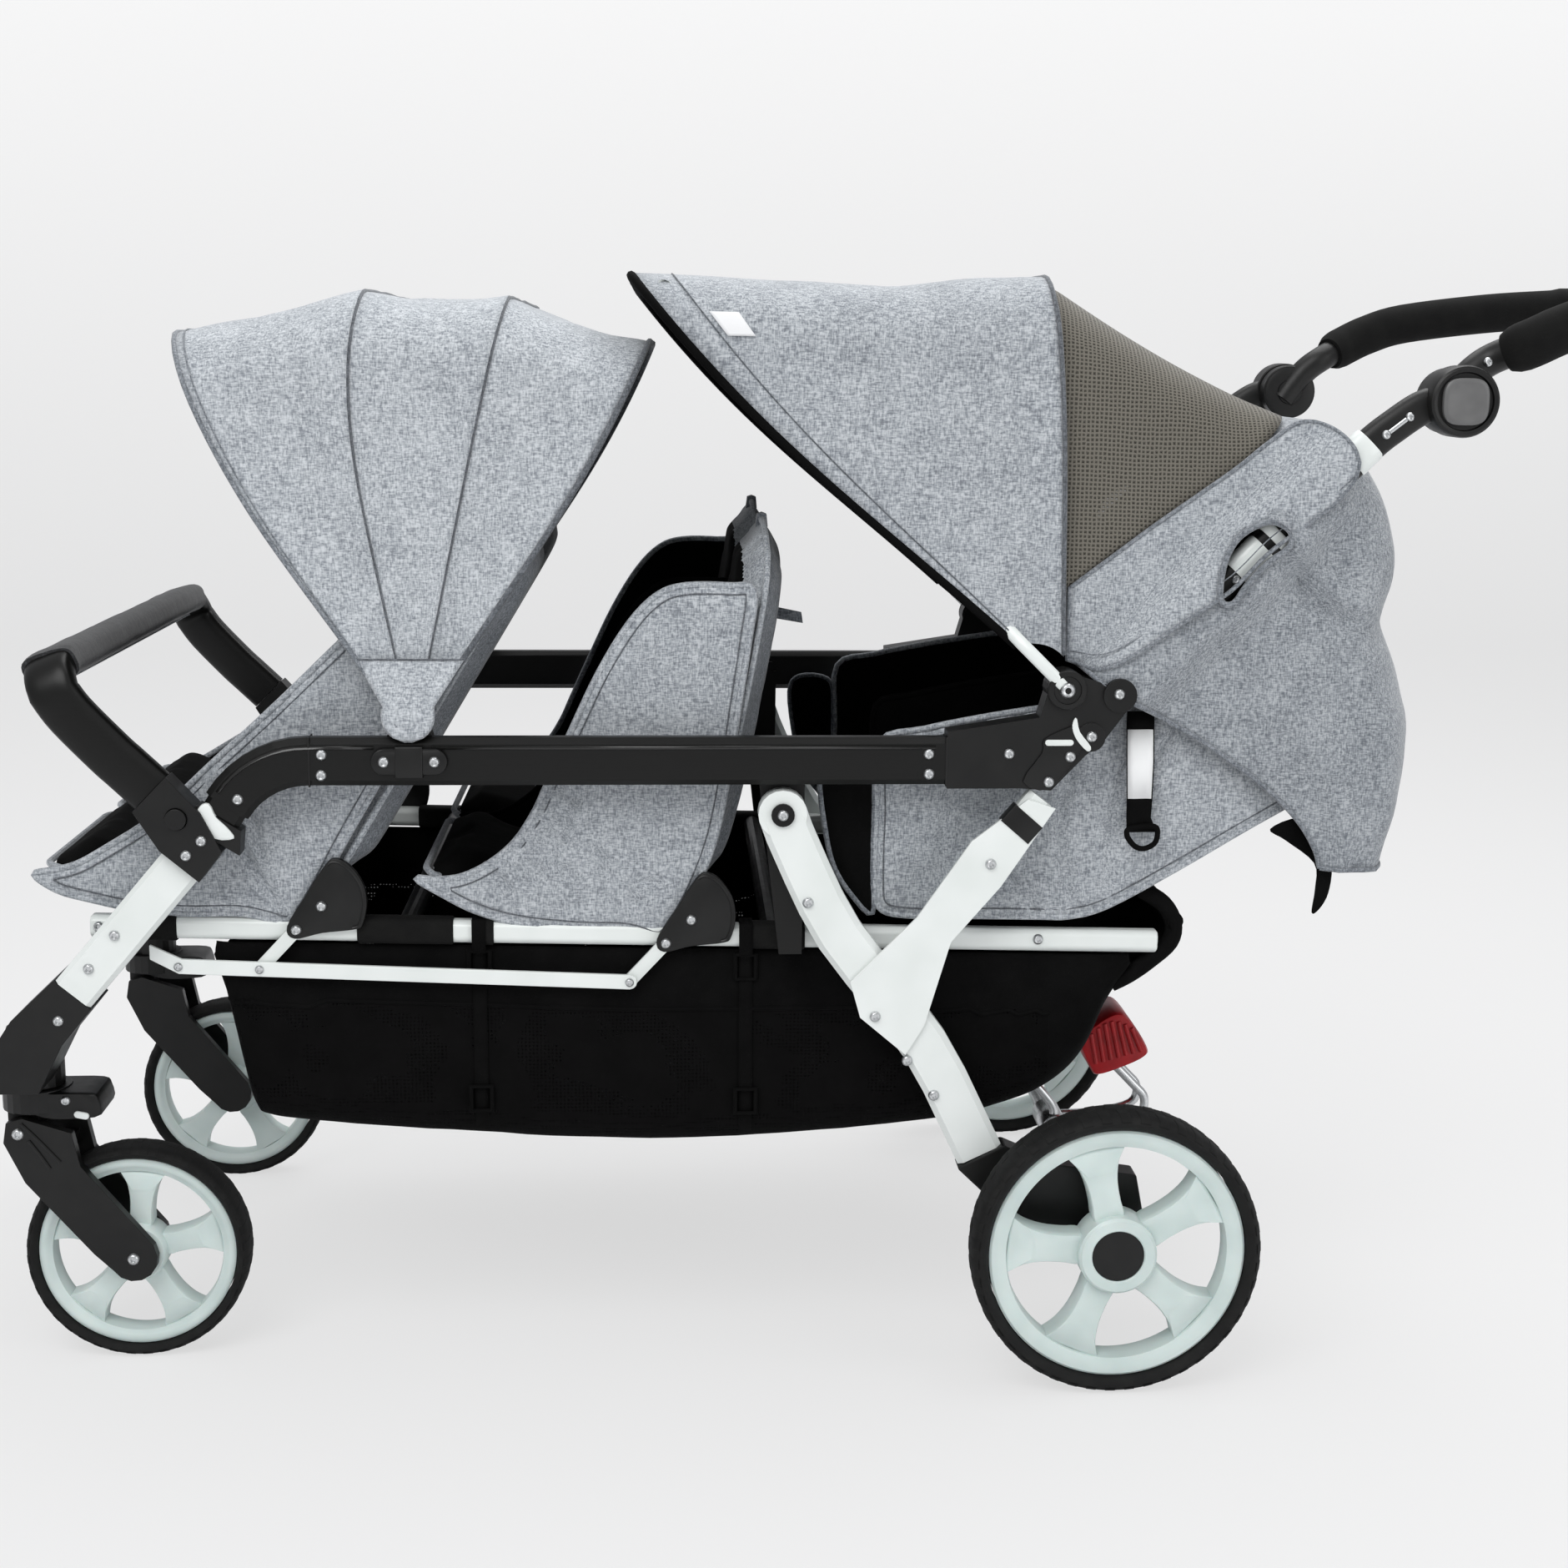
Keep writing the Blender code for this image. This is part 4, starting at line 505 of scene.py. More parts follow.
def make(name, bm, finishes, smooth=60):
    """An object from a mesh under construction, with smooth shading up to an angle."""
    bmesh.ops.recalc_face_normals(bm, faces=bm.faces)
    mesh = bpy.data.meshes.new(name)
    bm.to_mesh(mesh)
    bm.free()
    for finish in finishes if isinstance(finishes, (list, tuple)) else (finishes,):
        mesh.materials.append(finish)
    mesh.shade_smooth()
    mesh.set_sharp_from_angle(angle=math.radians(smooth))
    made = bpy.data.objects.new(name, mesh)
    bpy.context.scene.collection.objects.link(made)
    return made


def thicken(piece, mm, offset=-1.0, lining=False):
    """Give a sheet its thickness, with its inner face in the second finish where it is lined."""
    solid = piece.modifiers.new("thickness", "SOLIDIFY")
    solid.thickness = mm / 1000
    solid.offset = offset
    solid.material_offset = 1 if lining else 0


def settle(piece):
    """Apply every modifier, so that the mesh is final."""
    graph = bpy.context.evaluated_depsgraph_get()
    graph.update()
    mesh = bpy.data.meshes.new_from_object(piece.evaluated_get(graph))
    piece.modifiers.clear()
    piece.data = mesh


def place(piece, body, slot, *replaced):
    """The body a piece moves with and the frame nodes it stands for, which are hidden; slot is not used."""
    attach(piece, body)
    if replaced:
        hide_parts(*replaced)
    return piece


def add(name, bm, finishes, body="frame", replaced=(), smooth=60, thick=0.0, **how):
    """A finished piece: made, thickened where asked and placed on its body."""
    piece = make(name, bm, finishes, smooth)
    if thick:
        thicken(piece, thick, **how)
    first = finishes[0] if isinstance(finishes, tuple) else finishes
    return place(piece, body, SLOTS[first.name], *replaced)


def mirrored(half):
    """The points of the right half, in the order that carries a left half on."""
    return [Vector((p.x, -p.y, p.z)) for p in reversed(half)]


def plate_mesh(outline, y0, y1, soften=0.0008, target=None):
    """An outline given thickness across the stroller, its outer edge rounded."""
    bm = target or bmesh.new()
    middle = tuple(np.mean(outline, 0))
    size = max(math.dist(middle, p) for p in outline)
    step = math.copysign(soften, y1 - y0)
    layers = [[bm.verts.new(at(mix(p, middle, shrink / size), y)) for p in outline]
              for y, shrink in ((y0, 0.0), (y1 - step, 0.0), (y1 - step * 0.3, soften * 0.3), (y1, soften))]
    bridge(bm, layers)
    bm.faces.new(layers[0])
    bm.faces.new(layers[-1])
    return bm


def cut_area(piece):
    """Area of one face of a sheet, in square metres."""
    return sum(face.area for face in piece.data.polygons)


def ripple(point, size, depth, seed=0.0):
    """A smooth unevenness of cloth: a length that changes over about size metres."""
    return depth * noise.noise(Vector(point) / size + Vector((seed, seed * 0.7, -seed)))


def hoop_share(width, reach, corner, side_steps, corner_steps, top_steps):
    """One bow from the left foot to the right: pairs of (share of the reach, y)."""
    half = [(k / side_steps * (1 - corner / reach), -width) for k in range(side_steps)]
    half += [(1 - corner * (1 - math.sin(a)) / reach, -width + corner * (1 - math.cos(a)))
             for a in (math.pi / 2 * k / corner_steps for k in range(corner_steps + 1))]
    half += [(1.0, mix(-width + corner, 0.0, k / top_steps)) for k in range(1, top_steps)]
    return half + [(1.0, 0.0)] + [(s, -y) for s, y in reversed(half)]


# %% [markdown]
# The front canopy. Three gores of melange cloth are stretched over four thin bows that meet at a clip on each
# rail. Between two bows stretched cloth always sinks a little, on the top most of all, and each bow shows as a
# corded seam. Every gore turns with its own bow, so it is a sheet of its own, and each hangs just inside the one
# in front of it, as the real one tucks when it folds. A bow is not quite straight: its angle changes with the
# distance from the clip.

# %% Front canopy
APEX = (-0.605, 0.5655)
CANOPY_HALF_WIDTH = 0.2905
CANOPY_CORNER = 0.060
GORE_STEP = 0.0035
TIP_REACH = 0.018
# Each bow: angle in degrees, reach in metres, bulge at mid height and lean of the top in degrees
CANOPY_BOWS = ((119.5, 0.389, 4.0, 0.0), (99.0, 0.377, 1.5, -3.5), (78.2, 0.382, -0.5, -1.0),
               (58.8, 0.394, -2.5, 0.0))


def bow_angle(bow, share):
    """Angle of a bow at a share of its reach."""
    angle, _, bulge, lean = bow
    return angle + bulge * math.sin(math.pi * min(1.0, share)) + lean * max(0.0, share - 0.5) ** 2 * 4


def gore_rows(bows, order, steps=12, sag=0.013):
    """Points of one gore between two bows."""
    rows = []
    width = CANOPY_HALF_WIDTH - order * GORE_STEP
    for i in range(steps + 1):
        u = i / steps
        sink = math.sin(math.pi * u)
        reach = mix(bows[0][1], bows[1][1], u) - order * GORE_STEP * 0.4
        row = []
        for share, y in hoop_share(width, reach, CANOPY_CORNER, 22, 6, 12):
            share = max(share, TIP_REACH / reach)
            angle = mix(bow_angle(bows[0], share), bow_angle(bows[1], share), u)
            top = ease(share, 0.75, 1.0)
            middle = math.cos(y / width * math.pi / 2)
            radius = reach * share - sink * top * sag * (0.75 + 0.25 * middle)
            flare = 0.0178 * (1 - ease(share, 0.05, 0.20))
            inward = sink * 0.006 * math.sin(math.pi * min(1, share)) ** 0.5 * (1 - top)
            across = math.copysign(abs(y) + flare - inward, y) if y else 0.0
            point = at(polar(APEX, radius, angle), across)
            fold = ripple((point.x * 1.3, point.y, point.z * 0.5), 0.045, 0.0032, order + 1.0)
            fold += ripple(point, 0.016, 0.0008, order + 5.0)
            fold *= ease(share, 0.08, 0.3) * (0.35 + 0.65 * sink)
            outward = (at(polar(APEX, 1, angle)) - at(APEX)) * top
            outward += Vector((0, math.copysign(1 - top, y), 0))
            row.append(point + outward * fold)
        rows.append(row)
    return rows


CANOPY_PARTS = (("front", "canopy_front_gore"), ("middle", "canopy_middle_gore"), ("rear", "frame"))
for order, (name, body) in enumerate(CANOPY_PARTS):
    rows = gore_rows(CANOPY_BOWS[order:order + 2], order)
    # The gores take the lightened grey, a painted light
    gore = add(f"canopy_{name}_cloth", sheet_mesh(rows), (CANOPY_GREY_PAINTED_LIGHT, BLACK_CLOTH), body, [f"front_canopy_{name}"],
               thick=1.6, lining=True)
    seams = cord_mesh(rows[0], 0.0021)
    if name == "front":
        cord_mesh([mix(a, b, 0.62) + Vector((0, 0.0006 * math.copysign(1, a.y), 0.0006))
                   for a, b in zip(rows[0], rows[1])], 0.0007, 6, target=seams)
    if name == "rear":
        cord_mesh(rows[-1], 0.0026, target=seams)
    piping = add(f"canopy_{name}_seams", seams, DARK_GREY if name == "front" else PIPING, body)

# A cap of the same cloth closes the tips of the gores, with a short seam across and a round lower end.
CAP_FOOT, CAP_TOP, CAP_ROUND, CAP_CENTRE = 0.5678, 0.6360, 0.0225, 0.5900
for side, sign in SIDES:
    cap_rows = []
    for i in range(19):
        z = mix(CAP_FOOT, CAP_TOP, i / 18)
        below = CAP_CENTRE - z
        round_half = math.sqrt(max(0.0, CAP_ROUND ** 2 - below ** 2))
        left, right = (max(round_half, (z - APEX[1]) * lean + 0.0012) for lean in (0.615, 0.645))
        y = CANOPY_HALF_WIDTH + 0.0178 * (1 - ease((z - APEX[1]) / 0.38, 0.05, 0.20)) + 0.0016
        row = []
        for k in range(13):
            u = k / 12
            edge = max(0.0, abs(u - 0.5) * 2 - 0.8) / 0.2
            drop = 0.0020 * edge ** 2 + 0.0016 * (1 - ease(z, CAP_FOOT, CAP_FOOT + 0.006))
            row.append(at((APEX[0] + mix(-left, right, u), z), sign * (y - drop)))
        cap_rows.append(row)
    # The cap takes the same lightened grey, a painted light
    add(f"canopy_tip_{side}", sheet_mesh(cap_rows), CANOPY_GREY_PAINTED_LIGHT, thick=1.2)
    cross = cord_mesh([p + Vector((0, sign * 0.0004, 0)) for p in cap_rows[-1]], 0.0008, 6)
    add(f"canopy_tip_seam_{side}", cross, PIPING)

# %% [markdown]
# The rear hood is one long gore on a bow that turns about the hinge of the handle post. Its front edge is bound
# in black, a stitched hem runs along it, and a small pale patch of cloth is sewn on near the tip. The bow itself
# is a flat steel strip with an eye at each end, so it shows where the cloth stops short of the hinge.

# %% Rear hood
HINGE = (-0.049, 0.613)
HOOD_HALF_WIDTH, HOOD_CORNER = 0.2945, 0.055
HOOD_FRONT, HOOD_REAR = 137.0, 93.0
HOOD_BOWS = ((HOOD_FRONT, 0.0, 2.6, 0.0), (HOOD_REAR, 0.0, -1.5, 0.0))


def hood_reach(degrees):
    """Reach of the hood from its hinge: long at the front edge, shorter at the back."""
    share = (degrees - HOOD_REAR) / (HOOD_FRONT - HOOD_REAR)
    return 0.345 + 0.030 * share + 0.129 * share ** 3


def hood_point(u, share, y):
    """A point of the hood: u runs from its front edge to its rear bow, share from the hinge to the top."""
    flat_angle = mix(HOOD_FRONT, HOOD_REAR, u)
    reach = hood_reach(flat_angle)
    angle = mix(bow_angle(HOOD_BOWS[0], share), bow_angle(HOOD_BOWS[1], share), u)
    sink = math.sin(math.pi * u)
    top = ease(share, 0.75, 1.0)
    radius = reach * share - sink * top * 0.005
    inward = sink * 0.001 * (1 - top)
    across = math.copysign(abs(y) - inward, y) if y else 0.0
    point = at(polar(HINGE, radius, angle), across)
    fold = ripple((point.x, point.y, point.z * 0.6), 0.07, 0.0030, 2.0) + ripple(point, 0.02, 0.0007, 6.0)
    fold *= ease(share, 0.2, 0.4) * (0.3 + 0.7 * sink)
    outward = (at(polar(HINGE, 1, angle)) - at(HINGE)) * top + Vector((0, math.copysign(1 - top, y), 0))
    return point + outward * fold


def hood_foot(u):
    """Share of the reach where the cloth stops, so that its lower edge clears the hinge."""
    reach = hood_reach(mix(HOOD_FRONT, HOOD_REAR, u))
    return mix(0.056, 0.028, u) / reach


def hood_row(u):
    """One bow line of the hood from its left edge over to the right."""
    reach = hood_reach(mix(HOOD_FRONT, HOOD_REAR, u))
    return [hood_point(u, max(share, hood_foot(u)), y)
            for share, y in hoop_share(HOOD_HALF_WIDTH, reach, HOOD_CORNER, 24, 6, 12)]


hood_rows = [hood_row(i / 24) for i in range(25)]
hood = add("hood_cloth", sheet_mesh(hood_rows), (GREY, BLACK_CLOTH), "rear_canopy", ["rear_hood"], thick=1.6,
           lining=True)
edge_line = [p + Vector((0, -0.0018 * (p.y / 0.29), -0.0022)) for p in hood_rows[0]]
binding = add("hood_binding", cord_mesh(edge_line, 0.0040), BLACK_CLOTH, "rear_canopy")
stitches = cord_mesh([hood_point(0.062, max(s, hood_foot(0)), y) + Vector((0, math.copysign(0.0004, y), 0.0004))
                      for s, y in hoop_share(HOOD_HALF_WIDTH, 0.5, HOOD_CORNER, 24, 6, 12)], 0.0007, 6)
cord_mesh(hood_rows[-1], 0.0021, target=stitches)
hood_seams = add("hood_seams", stitches, PIPING, "rear_canopy")
print(f"hood: {cut_area(hood):.3f} m2 of cloth")

patch_rows = []
for i in range(7):
    row = []
    for k in range(9):
        u, share = 0.075 + 0.052 * i / 6, 0.865 + 0.052 * k / 8
        bend = ease(share, 1 - HOOD_CORNER / 0.46, 1.0)
        row.append(hood_point(u, share, -HOOD_HALF_WIDTH) + Vector((0, -0.0014 + 0.012 * bend, 0)))
    patch_rows.append(row)
add("hood_patch", sheet_mesh(patch_rows), PALE_CLOTH, "rear_canopy", thick=0.9, offset=1.0)


def hood_bow():
    """The flat steel bow under the front edge, with its eyes on the hinge pins."""
    reach = hood_reach(135.5) - 0.013
    inner, pivot = HOOD_HALF_WIDTH - 0.0065, 0.3108
    half = [at(polar(HINGE, r, a), -y) for r, a, y in ((0.0, 135.2, pivot), (0.024, 135.2, pivot),
                                                       (0.055, 135.2, 0.3030), (0.090, 135.3, inner),
                                                       (0.25, 137.4, inner), (reach - HOOD_CORNER, 136.2, inner))]
    half += [at(polar(HINGE, reach - HOOD_CORNER * (1 - math.sin(a)), 135.5),
                -(inner - HOOD_CORNER * (1 - math.cos(a)))) for a in (math.pi / 2 * k / 5 for k in range(1, 6))]
    return cord_mesh(smooth_line(half + mirrored(half), 3), 0.0058, 10, flat=0.5)


add("hood_bow", hood_bow(), WHITE, "rear_canopy")
EYE = mm(0, 0, 16.5, 0, 17, 1, 17, 4.5, 16, 5.5, 12, 6, 11.5, 4.8, 0, 4.8)
for side, sign in SIDES:
    eye = lathe_mesh([(r, sign * h) for r, h in EYE], at(HINGE, sign * 0.3078), 40)
    add(f"hood_eye_{side}", eye, BLACK, "rear_canopy", smooth=35)

# %% [markdown]
# The mesh window lets air in behind the hood. It is a warp knit sewn between the hood's last bow and the band
# below, so it stays with the frame when the hood folds. The seam lines on its edges are the same points.

# %% Mesh window
PANEL_HALF_WIDTH = 0.2835
WINDOW_CORNER = (0.139, 0.843)
BOW_TOP, BOW_FOOT = (-0.066, 0.9530), (-0.046, 0.695)


def window_row(u):
    """A line over the window, from the band up over the top and down: u is 0 at the hood and 1 at the corner."""
    low = mix(BOW_FOOT, WINDOW_CORNER, u * 0.86)
    high = mix(BOW_TOP, WINDOW_CORNER, u) if u > 0 else (BOW_TOP[0] + 0.2 * u, BOW_TOP[1] - 0.001)
    low = (low[0], low[1] - 0.004 * math.sin(math.pi * u) - 0.009 * ease(u, 0.4, 1.0))
    width = PANEL_HALF_WIDTH + mix(0.0018, -0.0010, ease(u, 0.0, 0.5))
    reach = math.dist(low, high)
    corner = min(0.055, reach * 0.8)
    row = []
    for share, y in hoop_share(width, reach, corner, 14, 6, 12):
        x, z = mix(low, high, share)
        sink = math.sin(math.pi * max(u, 0.0)) * ease(share, 0.7, 1.0)
        z -= sink * 0.006
        point = at((x, z), y)
        row.append(point + Vector((0, ripple(point, 0.05, 0.0015, 9.0), 0)))
    return row


window_rows = [window_row(i / 16) for i in range(-2, 17)]
window = add("hood_window", sheet_mesh(window_rows), MESH, replaced=["rear_hood_mesh"], thick=1.0)
print(f"mesh window: {cut_area(window):.3f} m2")


# %% [markdown]
# The back panel is the largest piece of cloth: it starts at the window, covers the handle posts from outside and
# hangs behind the rear seats like a curtain with rounded corners. Where it passes over a post it has to stand
# out, so a bump follows the post's line. A second layer, the band, is sewn over its upper part with a hem, and
# an arch is cut out of both where a hand reaches the post.

# %% Back panel
POST_START, POST_SLOPE = (-0.004, 0.609), 45.6
LOW_EDGE = mm(-46, 640, -34, 631, -18, 618, 0, 606, 25, 593, 50, 579, 73, 566, 98, 549, 122, 532, 146, 512,
              166, 490, 179, 468, 184, 452)
HIGH_EDGE = mm(139, 843, 177, 836, 208, 815, 232, 780, 246, 738, 248, 707, 240, 680, 238, 663, 249, 638, 263, 604,
               270, 568, 266, 508, 250, 448)
PULL_FOLD = mm(127, 742, 145, 720, 168, 691, 208, 666, 240, 664)
BACK_FOLD = mm(208.5, 790, 226, 755, 231, 700, 232, 672)


def line_offset(point, line):
    """Signed distance from a side-view point to a line, positive on its upper side."""
    best = (1.0, 1.0)
    for a, b in zip(line, line[1:]):
        run = (b[0] - a[0], b[1] - a[1])
        share = min(1.0, max(0.0, ((point[0] - a[0]) * run[0] + (point[1] - a[1]) * run[1])
                             / (run[0] ** 2 + run[1] ** 2)))
        off = (point[0] - a[0] - run[0] * share, point[1] - a[1] - run[1] * share)
        side = math.copysign(1.0, run[0] * off[1] - run[1] * off[0])
        best = min(best, (math.hypot(*off), side))
    return best[0] * best[1]


def pulled_folds(point):
    """The deep folds: cloth above the line laps over the cloth below it."""
    off = line_offset(point, PULL_FOLD)
    height = 0.009 * math.exp(-((off - 0.014) / 0.011) ** 2) - 0.008 * math.exp(-((off + 0.004) / 0.006) ** 2)
    return height - 0.007 * math.exp(-(line_offset(point, BACK_FOLD) / 0.0045) ** 2)


def post_bump(point):
    """How far the cloth stands out over the handle post."""
    x, z = point
    slope = math.radians(POST_SLOPE)
    off = abs((z - POST_START[1]) * math.cos(slope) - (x - POST_START[0]) * math.sin(slope))
    turn = math.degrees(math.atan2(z - HINGE[1], x - HINGE[0]))
    along = (x - POST_START[0]) * math.cos(slope) + (z - POST_START[1]) * math.sin(slope)
    return 0.0215 * (1 - ease(off, 0.017, 0.050)) * (1 - ease(turn, 45.5, 50.0)) * (1 - ease(along, 0.315, 0.36))


def panel_point(low, high, share, y):
    """A point of the panel on the line from its lower edge to its back, at a share of the way."""
    x, z = mix(low, high, share)
    side = 1 - ease(share, 0.72, 1.0)
    swell = 0.007 * math.sin(math.pi * min(1, share)) * ease(z, 0.70, 0.55)
    across = math.copysign(abs(y) + (post_bump((x, z)) + swell) * side, y) if y else 0.0
    point = at((x, z), across)
    loose = ease(point.z, 0.80, 0.62)
    fold = ripple((point.x * 0.8, point.y, point.z * 0.5), 0.060, 0.0045, 12.0) * (0.3 + 0.7 * loose)
    fold += ripple((point.x, point.y * 0.5, point.z), 0.028, 0.0016, 14.0) * (0.4 + 0.6 * loose)
    heading = Vector((high[0] - low[0], 0, high[1] - low[1])).normalized()
    outward = heading * (1 - side) + Vector((0, math.copysign(side, y), 0))
    pleat = 0.004 * math.sin(share * 9 + x * 30) * loose * side + pulled_folds((x, z)) * side
    return point + outward * (fold + pleat * ease(share, 0.1, 0.4))


def panel_rows(lows, highs):
    """Rows of the panel between two smoothed edges."""
    rows = []
    for low, high in zip(smooth_line(lows, 5), smooth_line(highs, 5)):
        reach = math.dist(low, high)
        rows.append([panel_point(low, high, share, y)
                     for share, y in hoop_share(PANEL_HALF_WIDTH, reach, min(0.050, reach * 0.8), 26, 6, 14)])
    return rows


def band_rows(sign, layer=0.0027, across_steps=10):
    """The band on one side: a strip along the window's seam, 3 mm proud of the panel, ending over the back."""
    rows = []
    for low, high in zip(smooth_line(BAND_LOW, 5), smooth_line(BAND_HIGH, 5)):
        row = []
        for k in range(across_steps + 1):
            spot = mix(low, high, k / across_steps)
            point = at(spot, PANEL_HALF_WIDTH + post_bump(spot) + layer)
            flat = (point.x, 0, point.z)
            lift = ripple(flat, 0.05, 0.0013, 21.0) + ripple(flat, 0.02, 0.0007, 22.0)
            row.append(Vector((point.x, sign * (point.y + abs(lift)), point.z)))
        rows.append(row)
    return rows


BAND_LOW = mm(-46, 636, -20, 630, 10, 644, 45, 668, 88, 697, 118, 728, 148, 751, 172, 769, 189, 789, 193, 800)
BAND_HIGH = mm(-46, 697, -6, 727, 30, 754, 60, 775, 95, 800, 122, 822, 146, 838, 168, 836, 187, 820, 193.5, 806)
ARCH = smooth_line(mm(80, 690, 81, 717, 90, 738, 105, 751, 122, 756, 137, 748, 137, 735, 120, 722, 103, 704, 91, 687),
                   4, closed=True)


def cut_arch(piece):
    """Cut the arch through both sides of a piece of cloth."""
    bm = bmesh.new()
    for sign in (-1, 1):
        near, far = ([bm.verts.new(at(p, sign * y)) for p in ARCH] for y in (0.26, 0.36))
        bm.faces.new(near)
        bm.faces.new(far)
        bridge(bm, (near, far))
    cutter = make("arch_cutter", bm, GREY)
    cut = piece.modifiers.new("arch", "BOOLEAN")
    cut.operation = "DIFFERENCE"
    cut.object = cutter
    cut.solver = "EXACT"
    settle(piece)
    bpy.data.objects.remove(cutter)


rows = panel_rows(LOW_EDGE, HIGH_EDGE)
# The panel's outer face takes the darkened grey, a painted shade
panel = make("panel_cloth", sheet_mesh(rows), (PANEL_GREY_PAINTED_SHADE, BLACK_CLOTH))
thicken(panel, 1.6, lining=True)
cut_arch(panel)
place(panel, "frame", "grey_melange", "rear_panel")
edge = cord_mesh(rows[-1], 0.0024)
for end in (0, -1):
    cord_mesh([row[end] for row in rows], 0.0024, target=edge)
panel_hem = add("panel_hem", edge, DARK_GREY)

FLAP = mm(168, 494, 142, 484, 156, 474, 183, 453, 185, 430, 183, 408, 190, 412, 197, 426, 199, 450, 192, 480)
for side, sign in SIDES:
    bm = plate_mesh(smooth_line(FLAP, 4, True), sign * 0.2705, sign * 0.2720, 0.0004)
    add(f"lining_corner_{side}", bm, BLACK_CLOTH)

for side, sign in SIDES:
    rows = band_rows(sign)
    band = make(f"band_cloth_{side}", sheet_mesh(rows), GREY)
    thicken(band, 1.6, offset=0.0)
    cut_arch(band)
    place(band, "frame", "grey_melange")
    trim = cord_mesh([row[0] for row in rows] + rows[-1][1:] + [row[-1] for row in reversed(rows)][1:]
                     + list(reversed(rows[0]))[1:-1], 0.0019, closed=True)
    cord_mesh([mix(row[0], row[-1], 0.13) + Vector((0, sign * 0.0012, 0)) for row in rows], 0.0006, 6, target=trim)
    arch_line = [at(p, sign * (PANEL_HALF_WIDTH + post_bump(p) + 0.0046)) for p in ARCH]
    cord_mesh(arch_line, 0.0028, closed=True, target=trim)
    hem = add(f"band_hem_{side}", trim, DARK_GREY)

# %% [markdown]
# The basket is one shell of black cloth, hung from the lower seat tubes. Its upper part is a plain weave and the
# rest is an open net, and it sags between two straps that carry the load. Rows that run across, from one tube
# down under the floor and up to the other, give the loft, and a rounded corner keeps it a bag and not a box.

# %% Basket
TUBE_FRONT_Z, TUBE_DROP, TUBE_RUN = 0.400, 0.020, (-0.886, 0.047)
BASKET_FLOOR = mm(-780, 372, -768, 310, -757, 252, -750.5, 227.5, -742, 221, -700, 215, -560, 203, -405, 194.5,
                  -270, 199, -142, 211, -85, 225, -45, 243, -16, 273, 6, 326, 22, 360)
BASKET_HALF_WIDTH = 0.2640
BAND_DEPTH, HEM_DROP = 0.052, 0.013
STRAPS_X = (-0.553, -0.320)


def tube_height(x):
    """Centre height of the sloping lower seat tube."""
    return TUBE_FRONT_Z - TUBE_DROP * (x - TUBE_RUN[0]) / (TUBE_RUN[1] - TUBE_RUN[0])


def basket_row(x, floor):
    """Points across the basket at one place along it."""
    top = tube_height(x) - HEM_DROP
    depth = max(0.002, top - floor)
    corner = min(0.034, depth * 0.6)
    slack = ease(min(abs(x - s) for s in STRAPS_X), 0.01, 0.09)
    half = [(k / 22 * (depth - corner), 0.0) for k in range(22)]
    half += [(depth - corner * (1 - math.sin(a)), corner * (1 - math.cos(a)))
             for a in (math.pi / 2 * k / 6 for k in range(7))]
    row = []
    for drop, inset in half:
        share = drop / depth
        belly = 0.006 * math.sin(math.pi * share) * (0.4 + slack * 0.6) - 0.004 * (1 - share)
        row.append((top - drop, BASKET_HALF_WIDTH - 0.002 - inset + belly))
    row += [(floor - 0.004 * math.sin(math.pi / 2 * k / 10) * slack, (row[-1][1]) * (1 - k / 10))
            for k in range(1, 11)]
    points = []
    for z, y in [(z, -y) for z, y in row] + [(z, y) for z, y in reversed(row[:-1])]:
        point = at((x, z), y)
        fold = ripple((point.x, point.y, point.z * 0.6), 0.055, 0.0035, 31.0) + ripple(point, 0.02, 0.0010, 32.0)
        fold *= ease(top - z, 0.0, 0.06)
        lean = ease(abs(y), BASKET_HALF_WIDTH - 0.045, BASKET_HALF_WIDTH - 0.02)
        points.append(point + Vector((0, math.copysign(fold * lean, y), fold * (1 - lean) * 0.5)))
    return points


floor_line = smooth_line(BASKET_FLOOR, 7)
basket = make("basket_cloth", sheet_mesh([basket_row(x, z) for x, z in floor_line]), (BLACK_CLOTH, BLACK_NET))
for face in basket.data.polygons:
    x, y, z = face.center
    below_hem = tube_height(x - AXLE_X) - HEM_DROP - z > BAND_DEPTH
    face.material_index = int(below_hem and abs(y) > 0.2 and x - AXLE_X < -0.05)
thicken(basket, 1.4)
place(basket, "frame", "black_fabric", "basket")
details = bmesh.new()
WEBBING = (-0.006, -0.002, 0.002, 0.006)
for side, sign in SIDES:
    hem = []
    for x, floor in floor_line:
        top = tube_height(x) - HEM_DROP
        if top - floor > BAND_DEPTH + 0.01 and x < -0.045:
            wanted = min(basket_row(x, floor),
                         key=lambda p: abs(p.z - (top - BAND_DEPTH)) + (1 if p.y * sign < 0.2 else 0))
            hem.append(wanted + Vector((0, sign * 0.0008, 0)))
    cord_mesh(smooth_line(hem, 2), 0.0016, target=details)
    for x in STRAPS_X:
        row = [p for p in basket_row(x, 0.199 if x > -0.4 else 0.2055) if p.y * sign > 0.12]
        row.sort(key=lambda p: (-p.z, -abs(p.y)))
        strip = [[p + Vector((dx, sign * 0.0024, -0.0012)) for dx in WEBBING] for p in row]
        middle = tube_height(x)
        over = [[at((x + dx, middle + dz), sign * y) for dx in WEBBING]
                for y, dz in mm(243.5, -12.5, 243.5, 11.5, 268, 11.5, 268.8, -12)]
        sheet_mesh(over + strip[1:], details)
        for z in (middle - 0.028, middle - 0.150):
            y = min(row, key=lambda p: abs(p.z - z)).y + sign * 0.0045
            buckle = [at((x + dx, z + dz), y) for dx, dz in mm(-9, -11, 9, -11, 9, 11, -9, 11)]
            cord_mesh(buckle, 0.0019, closed=True, target=details)
